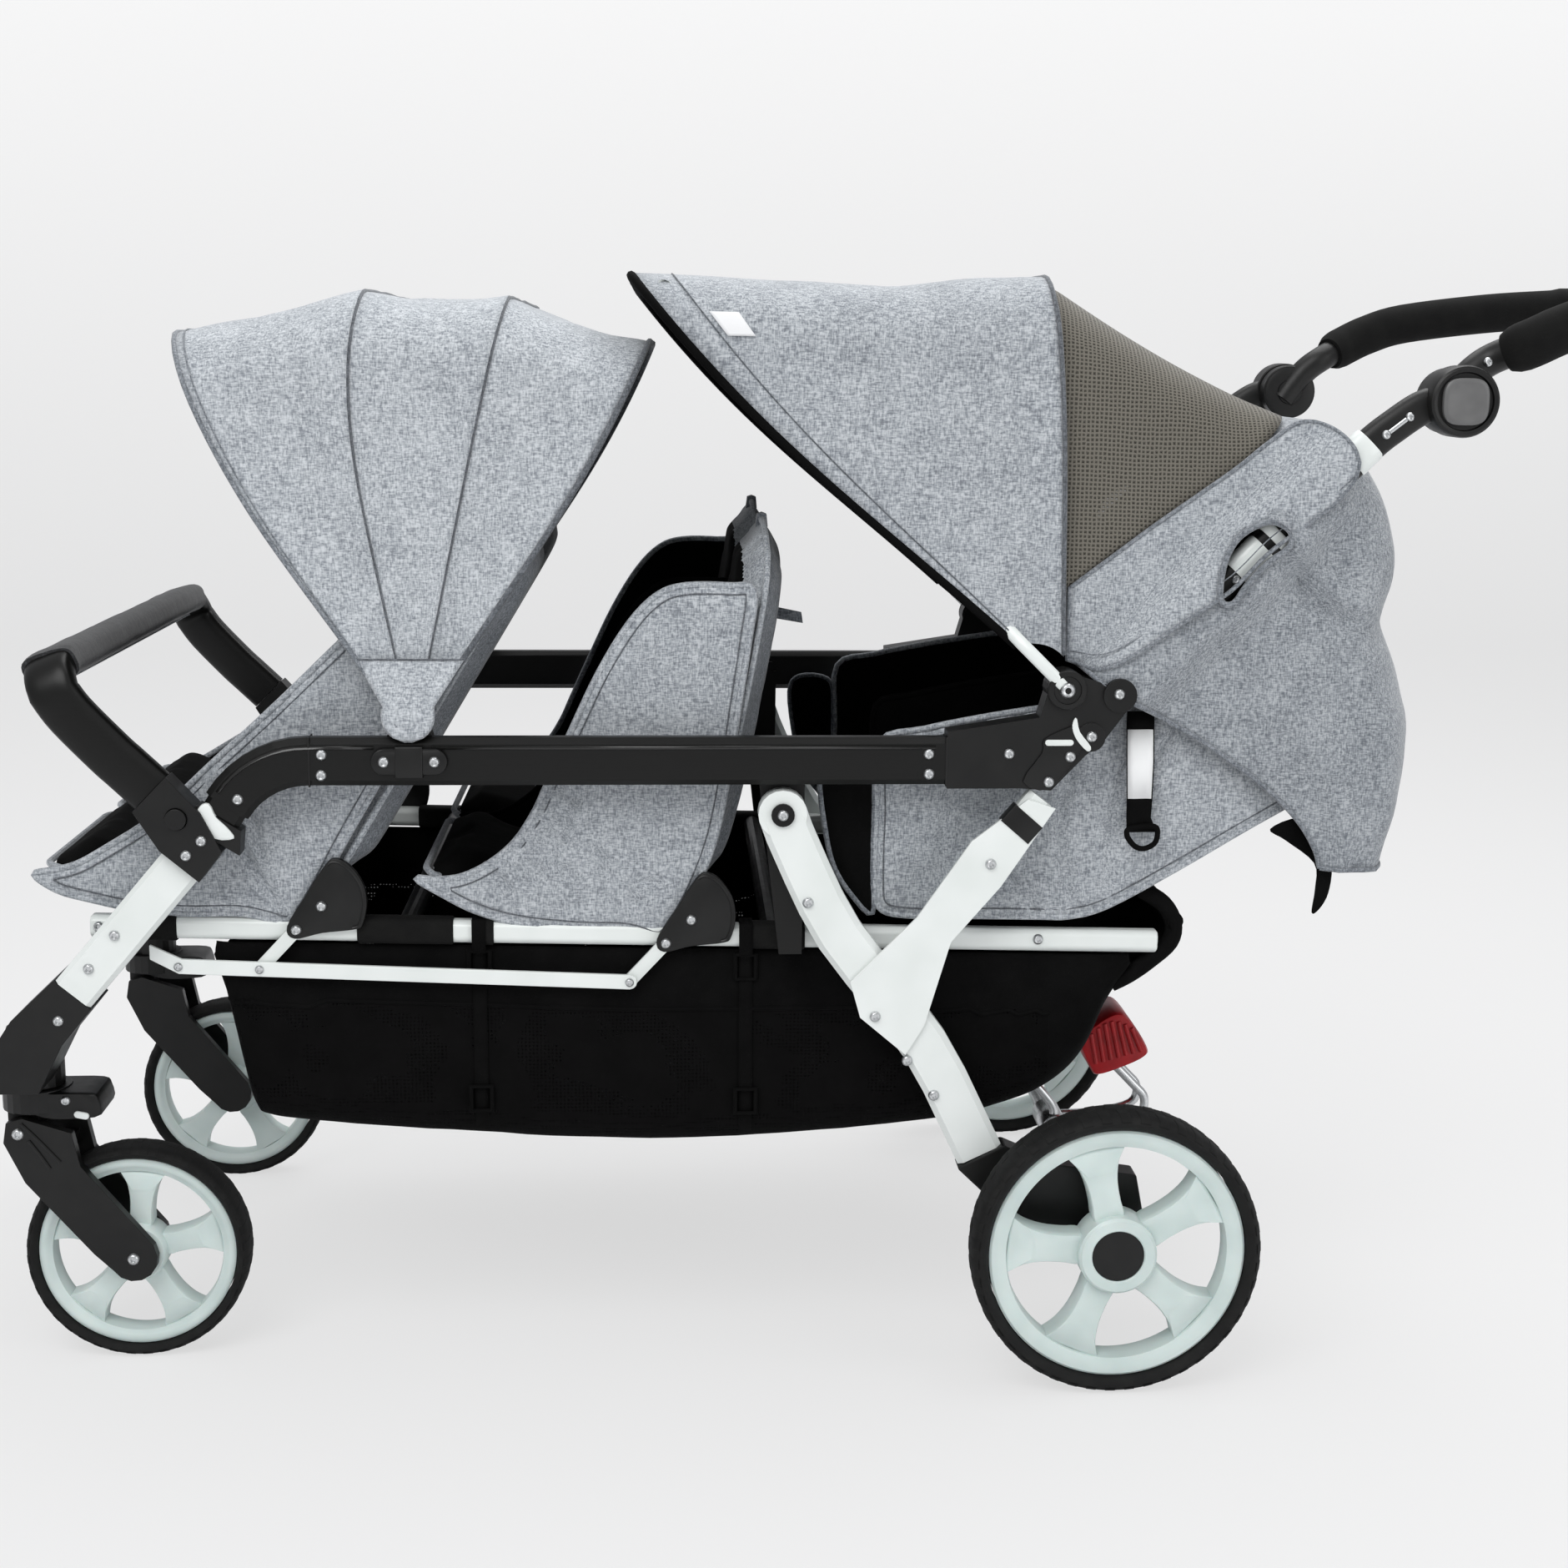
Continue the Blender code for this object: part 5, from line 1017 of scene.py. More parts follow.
straps = add("basket_straps", details, BLACK_CLOTH, smooth=50, thick=1.1, offset=0.0)
RIM_HALF = tuple(zip(mm(34, 425, 54, 412, 63, 395, 60, 378, 42, 362, 24, 349, 8, 340),
                     (0.248, 0.250, 0.252, 0.254, 0.256, 0.256, 0.254)))
wall = sheet_mesh([[at((x - 0.004 * math.sin(math.pi * k / 16), z), mix(-0.2505, 0.2505, k / 16)) for k in range(17)]
                   for x, z in smooth_line([p for p, _ in RIM_HALF], 3)])
rear_wall = add("basket_rear_wall", wall, BLACK_CLOTH, thick=1.2, offset=0.0)
print(f"basket wall: {cut_area(rear_wall):.3f} m2")
rim = bmesh.new()
for side, sign in SIDES:
    cord_mesh(smooth_line([at(p, sign * y) for p, y in RIM_HALF], 4), 0.0078, 14, target=rim)
CROSSING = (((0.063, 0.396), -0.252), ((0.064, 0.397), -0.235), ((0.064, 0.397), 0.0), ((0.064, 0.397), 0.235),
            ((0.063, 0.396), 0.252))
cord_mesh(smooth_line([at(p, y) for p, y in CROSSING], 4), 0.0078, 14, target=rim)
add("basket_rear_rim", rim, BLACK_CLOTH, smooth=50)
print(f"basket: {cut_area(basket):.3f} m2 of cloth and net")


# %% [markdown]
# The seats are sewn from quilted shapes: a flat outline with a soft filling, so it is full in the middle, thin at
# the edge and closed by a bound seam. One helper makes them all. It fills an outline with an even net of
# triangles, gives each side its height from the distance to the edge, and lays the result on any surface.


# %% Quilted shapes
def edge_distance(points, outline):
    """Distance of each point to a closed outline."""
    a = np.array(outline, float)
    b = np.roll(a, -1, 0)
    p = np.array(points, float)[:, None, :]
    run = b - a
    share = np.clip(((p - a) * run).sum(2) / np.maximum((run * run).sum(1), 1e-12), 0, 1)
    return np.sqrt(((p - (a + share[..., None] * run)) ** 2).sum(2)).min(1)


def inside(points, outline):
    """Whether each point lies inside a closed outline."""
    x, z = np.array(points, float).T[:, :, None]
    ax, az = np.array(outline, float).T
    bx, bz = np.roll(ax, -1), np.roll(az, -1)
    crossing = (az > z) != (bz > z)
    return (crossing & (x < (bx - ax) * (z - az) / np.where(bz == az, 1e-9, bz - az) + ax)).sum(1) % 2 == 1


def inward(outline, by):
    """The points of a closed outline moved inwards."""
    count = len(outline)
    turn = sum(a[0] * b[1] - b[0] * a[1] for a, b in zip(outline, outline[1:] + outline[:1]))
    moved = []
    for i in range(count):
        run = np.array(outline[(i + 1) % count]) - np.array(outline[i - 1])
        run = run / max(1e-9, np.linalg.norm(run))
        moved.append(tuple(np.array(outline[i]) + np.array((-run[1], run[0])) * by * (1 if turn > 0 else -1)))
    return moved


def quilt_net(outline, spacing):
    """Flat points and triangles inside an outline, with its own points first and a ring of points beside them."""
    low, high = np.min(outline, 0), np.max(outline, 0)
    grid = [(x + (row % 2) * spacing / 2, z) for row, z in enumerate(np.arange(low[1], high[1], spacing * 0.87))
            for x in np.arange(low[0], high[0], spacing)]
    flat = list(outline)
    for points, gap in ((inward(outline, 0.0026), 0.0021), (grid, spacing * 0.75)):
        distance = edge_distance(points, outline)
        flat += [p for p, d, ok in zip(points, distance, inside(points, outline)) if ok and d > gap]
    result = delaunay_2d_cdt([Vector(p) for p in flat], [], [list(range(len(outline)))], 1, 1e-6)
    return [tuple(p) for p in result[0]], [tuple(f) for f in result[2]]


def quilt_mesh(outline, lay, front, back, spacing=0.009, rim=0.012, creases=None):
    """A quilted shape: lay(u, v, height) puts a flat point in space, front and back are its heights in metres."""
    points, faces = quilt_net(outline, spacing)
    distance = edge_distance(points, outline)
    bm = bmesh.new()
    sides = []
    shared = {}
    for k, height in enumerate((front, -back)):
        verts = []
        for i, (point, d) in enumerate(zip(points, distance)):
            if d < 1e-5:
                if i not in shared:
                    shared[i] = bm.verts.new(lay(*point, 0.0))
                verts.append(shared[i])
                continue
            share = min(1.0, d / rim)
            full = height * math.sqrt(max(0.0, 1 - (1 - share) ** 2))
            if creases:
                full += creases(point) * (1 if k == 0 else -0.5) * share
            verts.append(bm.verts.new(lay(*point, full)))
        sides.append(verts)
    for k, verts in enumerate(sides):
        for face in faces:
            corners = [verts[i] for i in (face if k == 0 else reversed(face))]
            if len(set(corners)) == len(corners) and not all(v in shared.values() for v in corners):
                bm.faces.new(corners).material_index = k
    return bm


def add_cord(bm, line, radius, index, closed=False, sides=8):
    """A cord in the same mesh, with its own finish."""
    before = len(bm.faces)
    cord_mesh(line, radius, sides, closed, bm)
    bm.faces.ensure_lookup_table()
    for face in bm.faces[before:]:
        face.material_index = index


def inset_line(outline, by):
    """The outline moved inwards, without the points that would cross."""
    moved = inward(outline, by)
    return [p for p, d in zip(moved, edge_distance(moved, outline)) if d > by * 0.93]


def inflate(piece, rim_distance, voxel=0.006, cap=0.007, pressure=4.0):
    """Fill a closed piece by a short cloth simulation, hold its edge, and keep the result."""
    remesh = piece.modifiers.new("remesh", "REMESH")
    remesh.mode = "VOXEL"
    remesh.voxel_size = voxel
    settle(piece)
    start = np.array([v.co for v in piece.data.vertices], float)
    cloth = piece.modifiers.new("cloth", "CLOTH")
    cloth.settings.use_pressure = True
    cloth.settings.uniform_pressure_force = pressure
    cloth.settings.effector_weights.gravity = 0.0
    cloth.settings.quality = 4
    cloth.point_cache.frame_start, cloth.point_cache.frame_end = 1, 20
    for number in range(1, 21):
        bpy.context.scene.frame_set(number)
    settle(piece)
    bpy.context.scene.frame_set(1)
    moved = np.array([v.co for v in piece.data.vertices], float) - start
    length = np.maximum(np.linalg.norm(moved, axis=1), 1e-9)
    hold = np.clip(rim_distance(start) / 0.016, 0, 1)
    moved *= (np.minimum(length, cap) / length * hold)[:, None]
    piece.data.vertices.foreach_set("co", (start + moved).astype(np.float32).ravel())
    smooth = piece.modifiers.new("smooth", "SUBSURF")
    smooth.levels = smooth.render_levels = 1
    settle(piece)


# %% [markdown]
# Each row of seats has a quilted panel at each side, melange outside and black inside, that reaches from the
# footrest over the seat to the top of the wing. It crosses the hinge of the back. Where the elastic of the middle
# row gathers it, short creases run away from the edge.

# %% Side panels
PANEL_MID_Y = 0.2622
PANEL_HALF = 0.0034
FRONT_SIDE = mm(-931, 446, -912, 432, -885, 424, -850, 416, -806, 411, -760, 411, -735, 406, -719, 401, -706, 408,
                -690, 432, -668, 472, -640, 520, -608, 575, -570, 640, -535, 695, -528, 718, -546, 727, -580, 716,
                -625, 684, -672, 640, -722, 592, -775, 544, -825, 498, -868, 470, -895, 455, -915, 450)
MIDDLE_SIDE = mm(-606, 441, -586, 428, -556, 412, -520, 401, -470, 395, -425, 393, -402, 386, -390, 388, -378, 404,
                 -360, 440, -346, 480, -336, 530, -327, 590, -318, 650, -314, 692, -335, 696, -372, 696, -396, 688,
                 -420, 664, -446, 622, -470, 572, -492, 524, -503, 500, -520, 474, -542, 455, -566, 443, -588, 440)
REAR_SIDE = mm(-204, 560, -206, 500, -207, 440, -203, 414, -180, 406, -120, 405, -60, 404, -34, 404, 0, 413,
               60, 446, 120, 482, 190, 523, 235, 556, 240, 585, 205, 612, 150, 620, 90, 615, 30, 604, -40, 594,
               -110, 583, -165, 572)
SIDE_CREASES = {"front": (mm(-770, 525, -752, 470, -722, 412), mm(-748, 505, -735, 460)),
                "middle": (mm(-489, 512, -462, 480, -439, 451, -417, 421), mm(-499, 490, -482, 478, -464, 470),
                           mm(-506, 480, -484, 464), mm(-514, 471, -490, 458, -468, 442), mm(-521, 463, -502, 450),
                           mm(-529, 455, -508, 440), mm(-493, 502, -477, 492), mm(-540, 448, -526, 432),
                           mm(-420, 440, -392, 436), mm(-485, 526, -468, 508)),
                "rear": (mm(-30, 560, -45, 480, -30, 415), mm(20, 560, 2, 500, 0, 430),
                         mm(-135, 560, -150, 470, -148, 415), mm(60, 590, 30, 520), mm(-85, 540, -95, 460, -60, 410))}


def crease_height(lines, seed):
    """Shallow valleys along lines, on top of a slow unevenness."""
    lines = [smooth_line(line, 5) for line in lines]

    def height(point):
        spot = (point[0], seed, point[1])
        value = ripple(spot, 0.040, 0.0016, seed) + ripple(spot, 0.015, 0.0005, seed + 3)
        for line in lines:
            off = edge_distance([point], line + line[-2:0:-1])[0]
            value += -0.0036 * math.exp(-(off / 0.0030) ** 2) + 0.0022 * math.exp(-((off - 0.0075) / 0.0045) ** 2)
        return value
    return height


def side_layer(y, sign):
    """A surface across the stroller: heights point away from its middle."""
    return lambda x, z, height: at((x, z), y + sign * height)


HINGES = {"front": (-0.687, 0.419), "middle": (-0.368, 0.405), "rear": (-0.035, 0.410)}
SIDE_OUTLINES = {"front": FRONT_SIDE, "middle": MIDDLE_SIDE, "rear": REAR_SIDE}
DIVIDER_DROP = {"front": 0.020, "middle": 0.015, "rear": 0.012}


def back_body(row, side):
    """The body that carries a seat's back."""
    return f"rear_back_{side}" if row == "rear" else f"{row}_backs"


def crosses_hinge(piece, row, side):
    """Look up the body of the row's back, and bake the transform of a padded piece into its mesh."""
    back_body(row, side)
    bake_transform(piece)


for row, outline in SIDE_OUTLINES.items():
    outline = smooth_line(outline, 4, closed=True)
    for side, sign in SIDES:
        lay = side_layer(sign * PANEL_MID_Y, sign)
        bm = quilt_mesh(outline, lay, PANEL_HALF, PANEL_HALF, 0.0075, 0.012, crease_height(SIDE_CREASES[row], 40.0))
        add_cord(bm, [lay(*p, 0.0) for p in outline], 0.0031, 2, closed=True)
        stitch = [lay(*p, PANEL_HALF * 0.97) for p in inset_line(outline, 0.0075)]
        add_cord(bm, stitch, 0.0007, 3, closed=True, sides=6)
        panel = make(f"{row}_side_{side}", bm, (GREY, BLACK_CLOTH, GREY, PIPING))
        crosses_hinge(panel, row, side)
    middle = tuple(np.mean(outline, 0))
    inner = [tuple(mix(p, (middle[0], middle[1] - DIVIDER_DROP[row]), 0.10)) for p in outline]
    # The rear backs lift one by one, so each has its own divider; the other rows share one
    for side, sign, y in (("left", -1, -0.0046), ("right", 1, 0.0046)) if row == "rear" else (("left", -1, 0.0),):
        lay = side_layer(y, sign)
        bm = quilt_mesh(inner, lay, 0.0032, 0.0032, spacing=0.012, creases=crease_height((), 50.0 + sign))
        add_cord(bm, [lay(*p, 0.0) for p in inner], 0.0026, 1, closed=True)
        divider = make(f"{row}_divider_{side}" if row == "rear" else f"{row}_divider", bm, (BLACK_CLOTH,) * 2)
        crosses_hinge(divider, row, side)
LIP = smooth_line(mm(-256, 531, -250, 480, -242, 449, -227, 425, -208.5, 408, -209, 450, -208.5, 520, -215, 545,
                     -245, 548), 4, closed=True)
for side, sign in SIDES:
    lay = side_layer(sign * PANEL_MID_Y, sign)
    bm = quilt_mesh(LIP, lay, PANEL_HALF, PANEL_HALF, creases=crease_height((), 44.0))
    for face in bm.faces:
        face.material_index = 0
    add_cord(bm, [lay(*p, 0.0) for p in LIP], 0.0026, 1, closed=True)
    add(f"rear_lip_{side}", bm, (BLACK_CLOTH, DARK_GREY))
print("side panels and dividers: 3 rows")

# %% [markdown]
# Backs and seat pads. A back is a board with foam in front and a shaded melange cover behind; a seat pad is foam
# on a sling. Both are crowned forms whose sides pull in between the corners. They start a little small and are
# filled by a cloth simulation, and only then get their bound seam and their sewn channels. Left and right are
# the same mesh, moved across.

# %% Backs and seat pads
SEAT_MID, SEAT_HALF = 0.1335, 0.1230
TOP_RADIUS = {"front": 0.060, "middle": 0.085, "rear": 0.030}
BACK_LINES = {"front": mm(-676, 440, -642, 497, -600, 567, -556, 640, -522, 697, -510, 722, -506, 741),
              "middle": mm(-362, 432, -343, 495, -328, 560, -314, 630, -304, 688, -301, 718, -303, 744.5),
              "rear": mm(-22, 418, 40, 454, 100, 489, 160, 523, 215, 556, 237, 570)}
PAD_LINES = {"front": mm(-924, 452, -905, 449, -885, 440, -850, 428, -806, 422, -750, 420.5, -708, 420),
             "middle": mm(-600, 446, -580, 436, -550, 422, -510, 414, -450, 409.5, -393, 408),
             "rear": mm(-196, 412, -150, 411.5, -100, 410.5, -45, 409.5)}


def line_frame(points):
    """A function from a length along a line to the point and the upward or forward normal there."""
    line = [Vector((x, 0, z)) for x, z in smooth_line(points, 6)]
    lengths = [0.0]
    for a, b in zip(line, line[1:]):
        lengths.append(lengths[-1] + (b - a).length)

    def lookup(length):
        i = max(0, min(len(line) - 2, int(np.searchsorted(lengths, length)) - 1))
        share = (length - lengths[i]) / (lengths[i + 1] - lengths[i])
        run = (line[i + 1] - line[i]).normalized()
        return mix(line[i], line[i + 1], share), Vector((-run.z, 0, run.x))
    return lookup, lengths[-1]


def pad_outline(length, half, top_radius, foot_radius, waist):
    """A rounded rectangle whose long sides pull in a little between the corners."""
    points = []
    for centre_u, centre_v, radius, first in ((half - foot_radius, foot_radius, foot_radius, -90),
                                              (half - top_radius, length - top_radius, top_radius, 0),
                                              (-half + top_radius, length - top_radius, top_radius, 90),
                                              (-half + foot_radius, foot_radius, foot_radius, 180)):
        points += [polar((centre_u, centre_v), radius, first + 90 * k / 6) for k in range(7)]
    dense = []
    for a, b in zip(points, points[1:] + points[:1]):
        steps = max(1, int(math.dist(a, b) / 0.012))
        dense += [mix(a, b, k / steps) for k in range(steps)]
    result = []
    for u, v in dense:
        pull = waist * math.sin(math.pi * min(1, max(0, v / length)))
        result.append((u - math.copysign(pull * abs(u) / half, u), v))
    return result


def pad_piece(name, line, front, back, finishes, top_radius, channels, waist=0.004, rim=0.040, border=0.0):
    """One crowned pad on a line, in the middle of the left seat."""
    lookup, length = line_frame(line)
    outline = pad_outline(length, SEAT_HALF, top_radius, 0.022, waist)

    def lay(u, v, height):
        point, normal = lookup(v)
        return at((point.x, point.z), -SEAT_MID + u) + normal * height

    bm = quilt_mesh(outline, lay, front, back, spacing=0.011, rim=rim)
    piece = make(name, bm, finishes[:2], 60)
    flat = [np.array(lay(*p, 0.0)) for p in outline]

    def rim_distance(points):
        return np.sqrt(((points[:, None, :] - np.array(flat)[None]) ** 2).sum(2)).min(1)

    inflate(piece, rim_distance)
    bvh_points = np.array([v.co for v in piece.data.vertices], float)
    normals = [lookup(v)[1] for v in (0.2 * length, 0.8 * length)]
    mean = (normals[0] + normals[1]).normalized()
    for face in piece.data.polygons:
        face.material_index = 0 if face.normal.dot(mean) > 0 else 1
    if border:
        gaps = rim_distance(np.array([face.center for face in piece.data.polygons]))
        for face, gap in zip(piece.data.polygons, gaps):
            if face.material_index == 0 and gap < border:
                face.material_index = 2
    extra = bmesh.new()
    extra.from_mesh(piece.data)
    for face in extra.faces:
        face.smooth = True
    add_cord(extra, [lay(*p, 0.0) for p in outline], 0.0030, 2, closed=True)
    for v in channels:
        seam = []
        for k in range(25):
            u = mix(-SEAT_HALF * 0.93, SEAT_HALF * 0.93, k / 24)
            base = np.array(lay(u, v * length, 0.0))
            normal = np.array(lookup(v * length)[1])
            near = bvh_points - base
            along = near @ normal
            off = np.linalg.norm(near - along[:, None] * normal, axis=1)
            height = max(along[off < 0.012].max() if (off < 0.012).any() else 0.0, 0.0)
            seam.append(Vector(base + normal * (height - 0.0006)))
        add_cord(extra, smooth_line(seam, 2), 0.0011, 3, sides=6)
    for finish in finishes[2:]:
        piece.data.materials.append(finish)
    extra.to_mesh(piece.data)
    extra.free()
    return piece


def other_side(piece, name):
    """The same mesh on the right."""
    mesh = piece.data.copy()
    mesh.transform(Matrix.Translation((0, 2 * SEAT_MID, 0)))
    made = bpy.data.objects.new(name, mesh)
    bpy.context.scene.collection.objects.link(made)
    return made


for row in ("front", "middle", "rear"):
    left = pad_piece(f"{row}_back_left", BACK_LINES[row], 0.019, 0.0095, (BLACK_CLOTH, DARK_GREY, GREY, PIPING),
                     TOP_RADIUS[row], (0.33, 0.62), rim=0.028, border=0.030)
    for side, piece in (("left", left), ("right", other_side(left, f"{row}_back_right"))):
        place(piece, back_body(row, side), "grey_melange", f"{row}_seat_back_{side}")
    left = pad_piece(f"{row}_pad_left", PAD_LINES[row], 0.022, 0.004, (BLACK_CLOTH, GREY, GREY, PIPING), 0.022,
                     (0.35, 0.68), waist=0.003)
    for piece in (left, other_side(left, f"{row}_pad_right")):
        place(piece, "frame", "grey_melange")
    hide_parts(f"{row}_seat_pan")
    print(f"{row} row: 2 backs and 2 seat pads")

# %% [markdown]
# Each middle back has a loop of webbing at its top, and the left one a pull strap behind, of dark tape.

# %% Loops and pull strap
for side, sign in SIDES:
    y = sign * SEAT_MID
    loop = mm(-308.5, 738, -297.5, 738, -298.5, 749, -302.5, 750.5, -307, 749)
    tapes = plate_mesh(loop, y - 0.010, y + 0.010, 0.0015)
    if side == "left":
        plate_mesh(mm(-302, 667.5, -266, 660, -264.5, 650, -300, 656), y - 0.0009, y + 0.0009, 0.0004, tapes)
    place(make(f"back_tapes_{side}", tapes, DARK_GREY, 40), "middle_backs", "black_fabric")


# %% [markdown]
# Wheels. The rim is one moulding: a broad flat ring, five wide petals that swell towards the ring, and a hub ring
# with a black cap. Each petal is drawn as an outline, given depth and rounded by a bevel. The tyre is turned on a
# lathe, with a row of shallow blocks round each shoulder.


# %% Wheels
def petal_outline(hub, ring, turn):
    """Side-view outline of one spoke, from the hub ring to the outer ring."""
    left = [(hub * 0.80, -26), (hub * 1.05, -23), (hub * 1.35, -16.5), (mix(hub, ring, 0.5), -12.5),
            (mix(hub, ring, 0.8), -13.0), (ring * 1.035, -16.0)]
    right = [(r, -a * 0.96) for r, a in reversed(left)]
    return [p for half in (left, right) for p in smooth_line([polar((0, 0), r, a + turn) for r, a in half], 3)]


def wheel_rim(centre, radius, width, hub, cap, turn, outer, through):
    """Ring, petals, hub ring and cap of one wheel, as one mesh with two finishes."""
    half = width * 0.36
    inner = radius * 0.862
    near = [(radius - 0.0005, half * 0.90), (radius - 0.0025, half), (radius - 0.0065, half),
            (inner + 0.004, half * 0.92), (inner, half * 0.80), (inner - 0.0012, half * 0.4)]
    ring = near + [(r, -y) for r, y in reversed(near)]
    bm = lathe_mesh(ring + ring[:1], centre, 96)
    depth = width * 0.27
    for k in range(5):
        outline = petal_outline(hub, inner, turn + 72 * k)
        middle = tuple(np.mean(outline, 0))
        layers = [[bm.verts.new((centre[0] + x, centre[1] + outer * y, centre[2] + z))
                   for x, z in (mix(middle, p, scale) for p in outline)]
                  for scale, y in ((0.965, -depth), (1.0, -depth * 0.80), (1.0, depth * 0.55), (0.975, depth * 0.82),
                                   (0.90, depth * 0.98), (0.5, depth * 1.06))]
        bridge(bm, layers)
        bm.faces.new(layers[0])
        bm.faces.new(layers[-1])
    reach = width / 2 - 0.0008
    lip = (hub - cap) * 0.25
    hub_ring = [(cap, outer * (reach - 0.004)), (cap, outer * (reach - 0.001)), (cap + 0.001, outer * reach),
                (hub - lip, outer * reach), (hub - 0.0008, outer * (reach - 0.0025)), (hub, outer * depth * 0.4),
                (hub, -outer * depth), (hub * 0.8, -outer * reach), (cap * 0.5, -outer * reach)]
    lathe_mesh(hub_ring, centre, 64, bm)
    before = len(bm.faces)
    face = reach - (0.0015 if not through else 0.003)
    lathe_mesh([(cap + 0.0002, outer * (face - 0.004)), (cap - 0.0006, outer * face),
                (cap * 0.6, outer * (face + 0.0008)), (0, outer * (face + 0.0010))], centre, 48, bm)
    bm.faces.ensure_lookup_table()
    for part in bm.faces[before:]:
        part.material_index = 1
    return bm


def wheel_tyre(centre, rim, radius, width, blocks):
    """A rounded tyre with shallow tread blocks."""
    wall = radius - rim
    half = [(rim + 0.0004, width * 0.36), (rim + wall * 0.10, width * 0.40), (rim + wall * 0.35, width * 0.485),
            (rim + wall * 0.55, width * 0.498), (rim + wall * 0.78, width * 0.455), (rim + wall * 0.92, width * 0.36),
            (rim + wall * 0.97, width * 0.22), (rim + wall * 0.98, 0.0)]
    profile = half + [(r, -y) for r, y in reversed(half[:-1])]
    bm = lathe_mesh(profile + profile[:1], centre, 96)
    block = [(rim + wall * share, y) for share, y in ((0.66, 0.494), (0.80, 0.458), (0.94, 0.365), (1.0, 0.20),
                                                      (1.0, 0.055), (0.95, 0.045))]
    for sign in (-1, 1):
        for k in range(blocks):
            first = 360 * (k + (0.0 if sign < 0 else 0.5)) / blocks
            rows = []
            for share, lift in ((0.0, -0.0010), (0.08, 0.0), (0.55, 0.0), (0.62, -0.0010)):
                row = []
                for r, y in block:
                    x, z = polar((centre[0], centre[2]), r + lift, first + (share + 0.25 * (0.5 - y)) * 360 / blocks)
                    row.append(Vector((x, centre[1] + sign * (y * width + lift * 0.5), z)))
                rows.append(row)
            sheet_mesh(rows, bm)
    return bm


# Rim and tyre radius, width, radius of hub ring and cap, turn in degrees and number of tread blocks
WHEEL_SIZES = {"rear": (0.1125, 0.127, 0.045, 0.0350, 0.0228, 103, 46),
               "front": (0.0872, 0.098, 0.038, 0.0265, 0.0150, 85, 40)}
for row, (rim, radius, width, hub, cap, turn, blocks) in WHEEL_SIZES.items():
    for side, sign in SIDES:
        low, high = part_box(f"{row}_tyre_{side}")
        centre = ((low.x + high.x) / 2, (low.y + high.y) / 2, radius)
        body = f"{row}_wheel_{side}"
        bm = wheel_rim(centre, rim, width, hub, cap, turn, sign, row == "front")
        add(f"{row}_rim_moulding_{side}", bm, (WHEEL, BLACK), body, [f"{row}_rim_{side}"], 38)
        add(f"{row}_tyre_tread_{side}", wheel_tyre(centre, rim, radius, width, blocks), TYRE, body,
            [f"{row}_tyre_{side}"], 40)
print("wheels: 4 rims and 4 treaded tyres")

# %% [markdown]
# Flat plates, caps and screws. A plate is an outline with a thickness and a soft edge; a screw is a small turned
# dome with a socket. They all ride on the body that the real ones are fixed to.


# %% Plates and screws
def screws(name, body, y, spots, radius=0.0048):
    """Zinc screw heads, facing outwards, as one piece: side-view points, and (points, y) where y is another."""
    bm = bmesh.new()
    scale = radius / 0.0048
    for points, face in [(spots, y)] if isinstance(spots[0][0], (int, float)) else spots:
        sign = math.copysign(1, y)
        for point in points:
            lathe_mesh([(r * scale, sign * h * scale) for r, h in SCREW_HEAD], at(point, sign * abs(face)), 20, bm)
    add(name, bm, ZINC, body, smooth=40)


SCREW_HEAD = mm(0, 0.6, 1.7, 0.6, 1.9, 2.1, 3.1, 2.5, 4.2, 1.7, 4.8, -0.3)


def capsule(a, b, radius, steps=8):
    """Outline of a flat bar with round ends."""
    turn = math.degrees(math.atan2(b[1] - a[1], b[0] - a[0]))
    return [polar(end, radius, turn + first + 180 * k / steps)
            for end, first in ((b, -90), (a, 90)) for k in range(steps + 1)]


HINGE_PLATE = smooth_line(mm(-30, -18, -13, 10, 4, 36, 13, 42, 25, 36, 36, 20, 39, 2, 35, -16, 28, -21, 0, -24,
                             -24, -29), 4, closed=True)
ARM_PIN, ARM_END = (-0.022, -0.021), (-0.0539, -0.0550)
SCREW_Y = 0.3072
# Across the stroller, the face that the screws sit on, and their places
FRAME_SCREWS = ((mm(-677.8, 557.5, -678.4, 540, -748.2, 519.5), SCREW_Y), (mm(-625.5, 552, -583.5, 552), 0.3128),
                (mm(-165.8, 557.6, -165.5, 540.3), SCREW_Y), (mm(-97, 557.6), SCREW_Y + 0.0002),
                (mm(-44.5, 555.3, -62.5, 533.5), SCREW_Y + 0.0018), (mm(-26.5, 572.7), 0.3094),
                (mm(-4, 609.3), 0.3104), (mm(-792, 472.5, -779, 485), 0.3122), (mm(-856, 402, -879, 373), 0.3042),
                (mm(-907, 327), 0.3032), (mm(-61, 384, -878, 400.5), 0.2662))
REAR_SCREWS = ((mm(-290, 505), 0.3102), (mm(-268, 428, -180, 286, -156, 254), SCREW_Y),
               (mm(-111, 462, -209, 327), 0.3107))
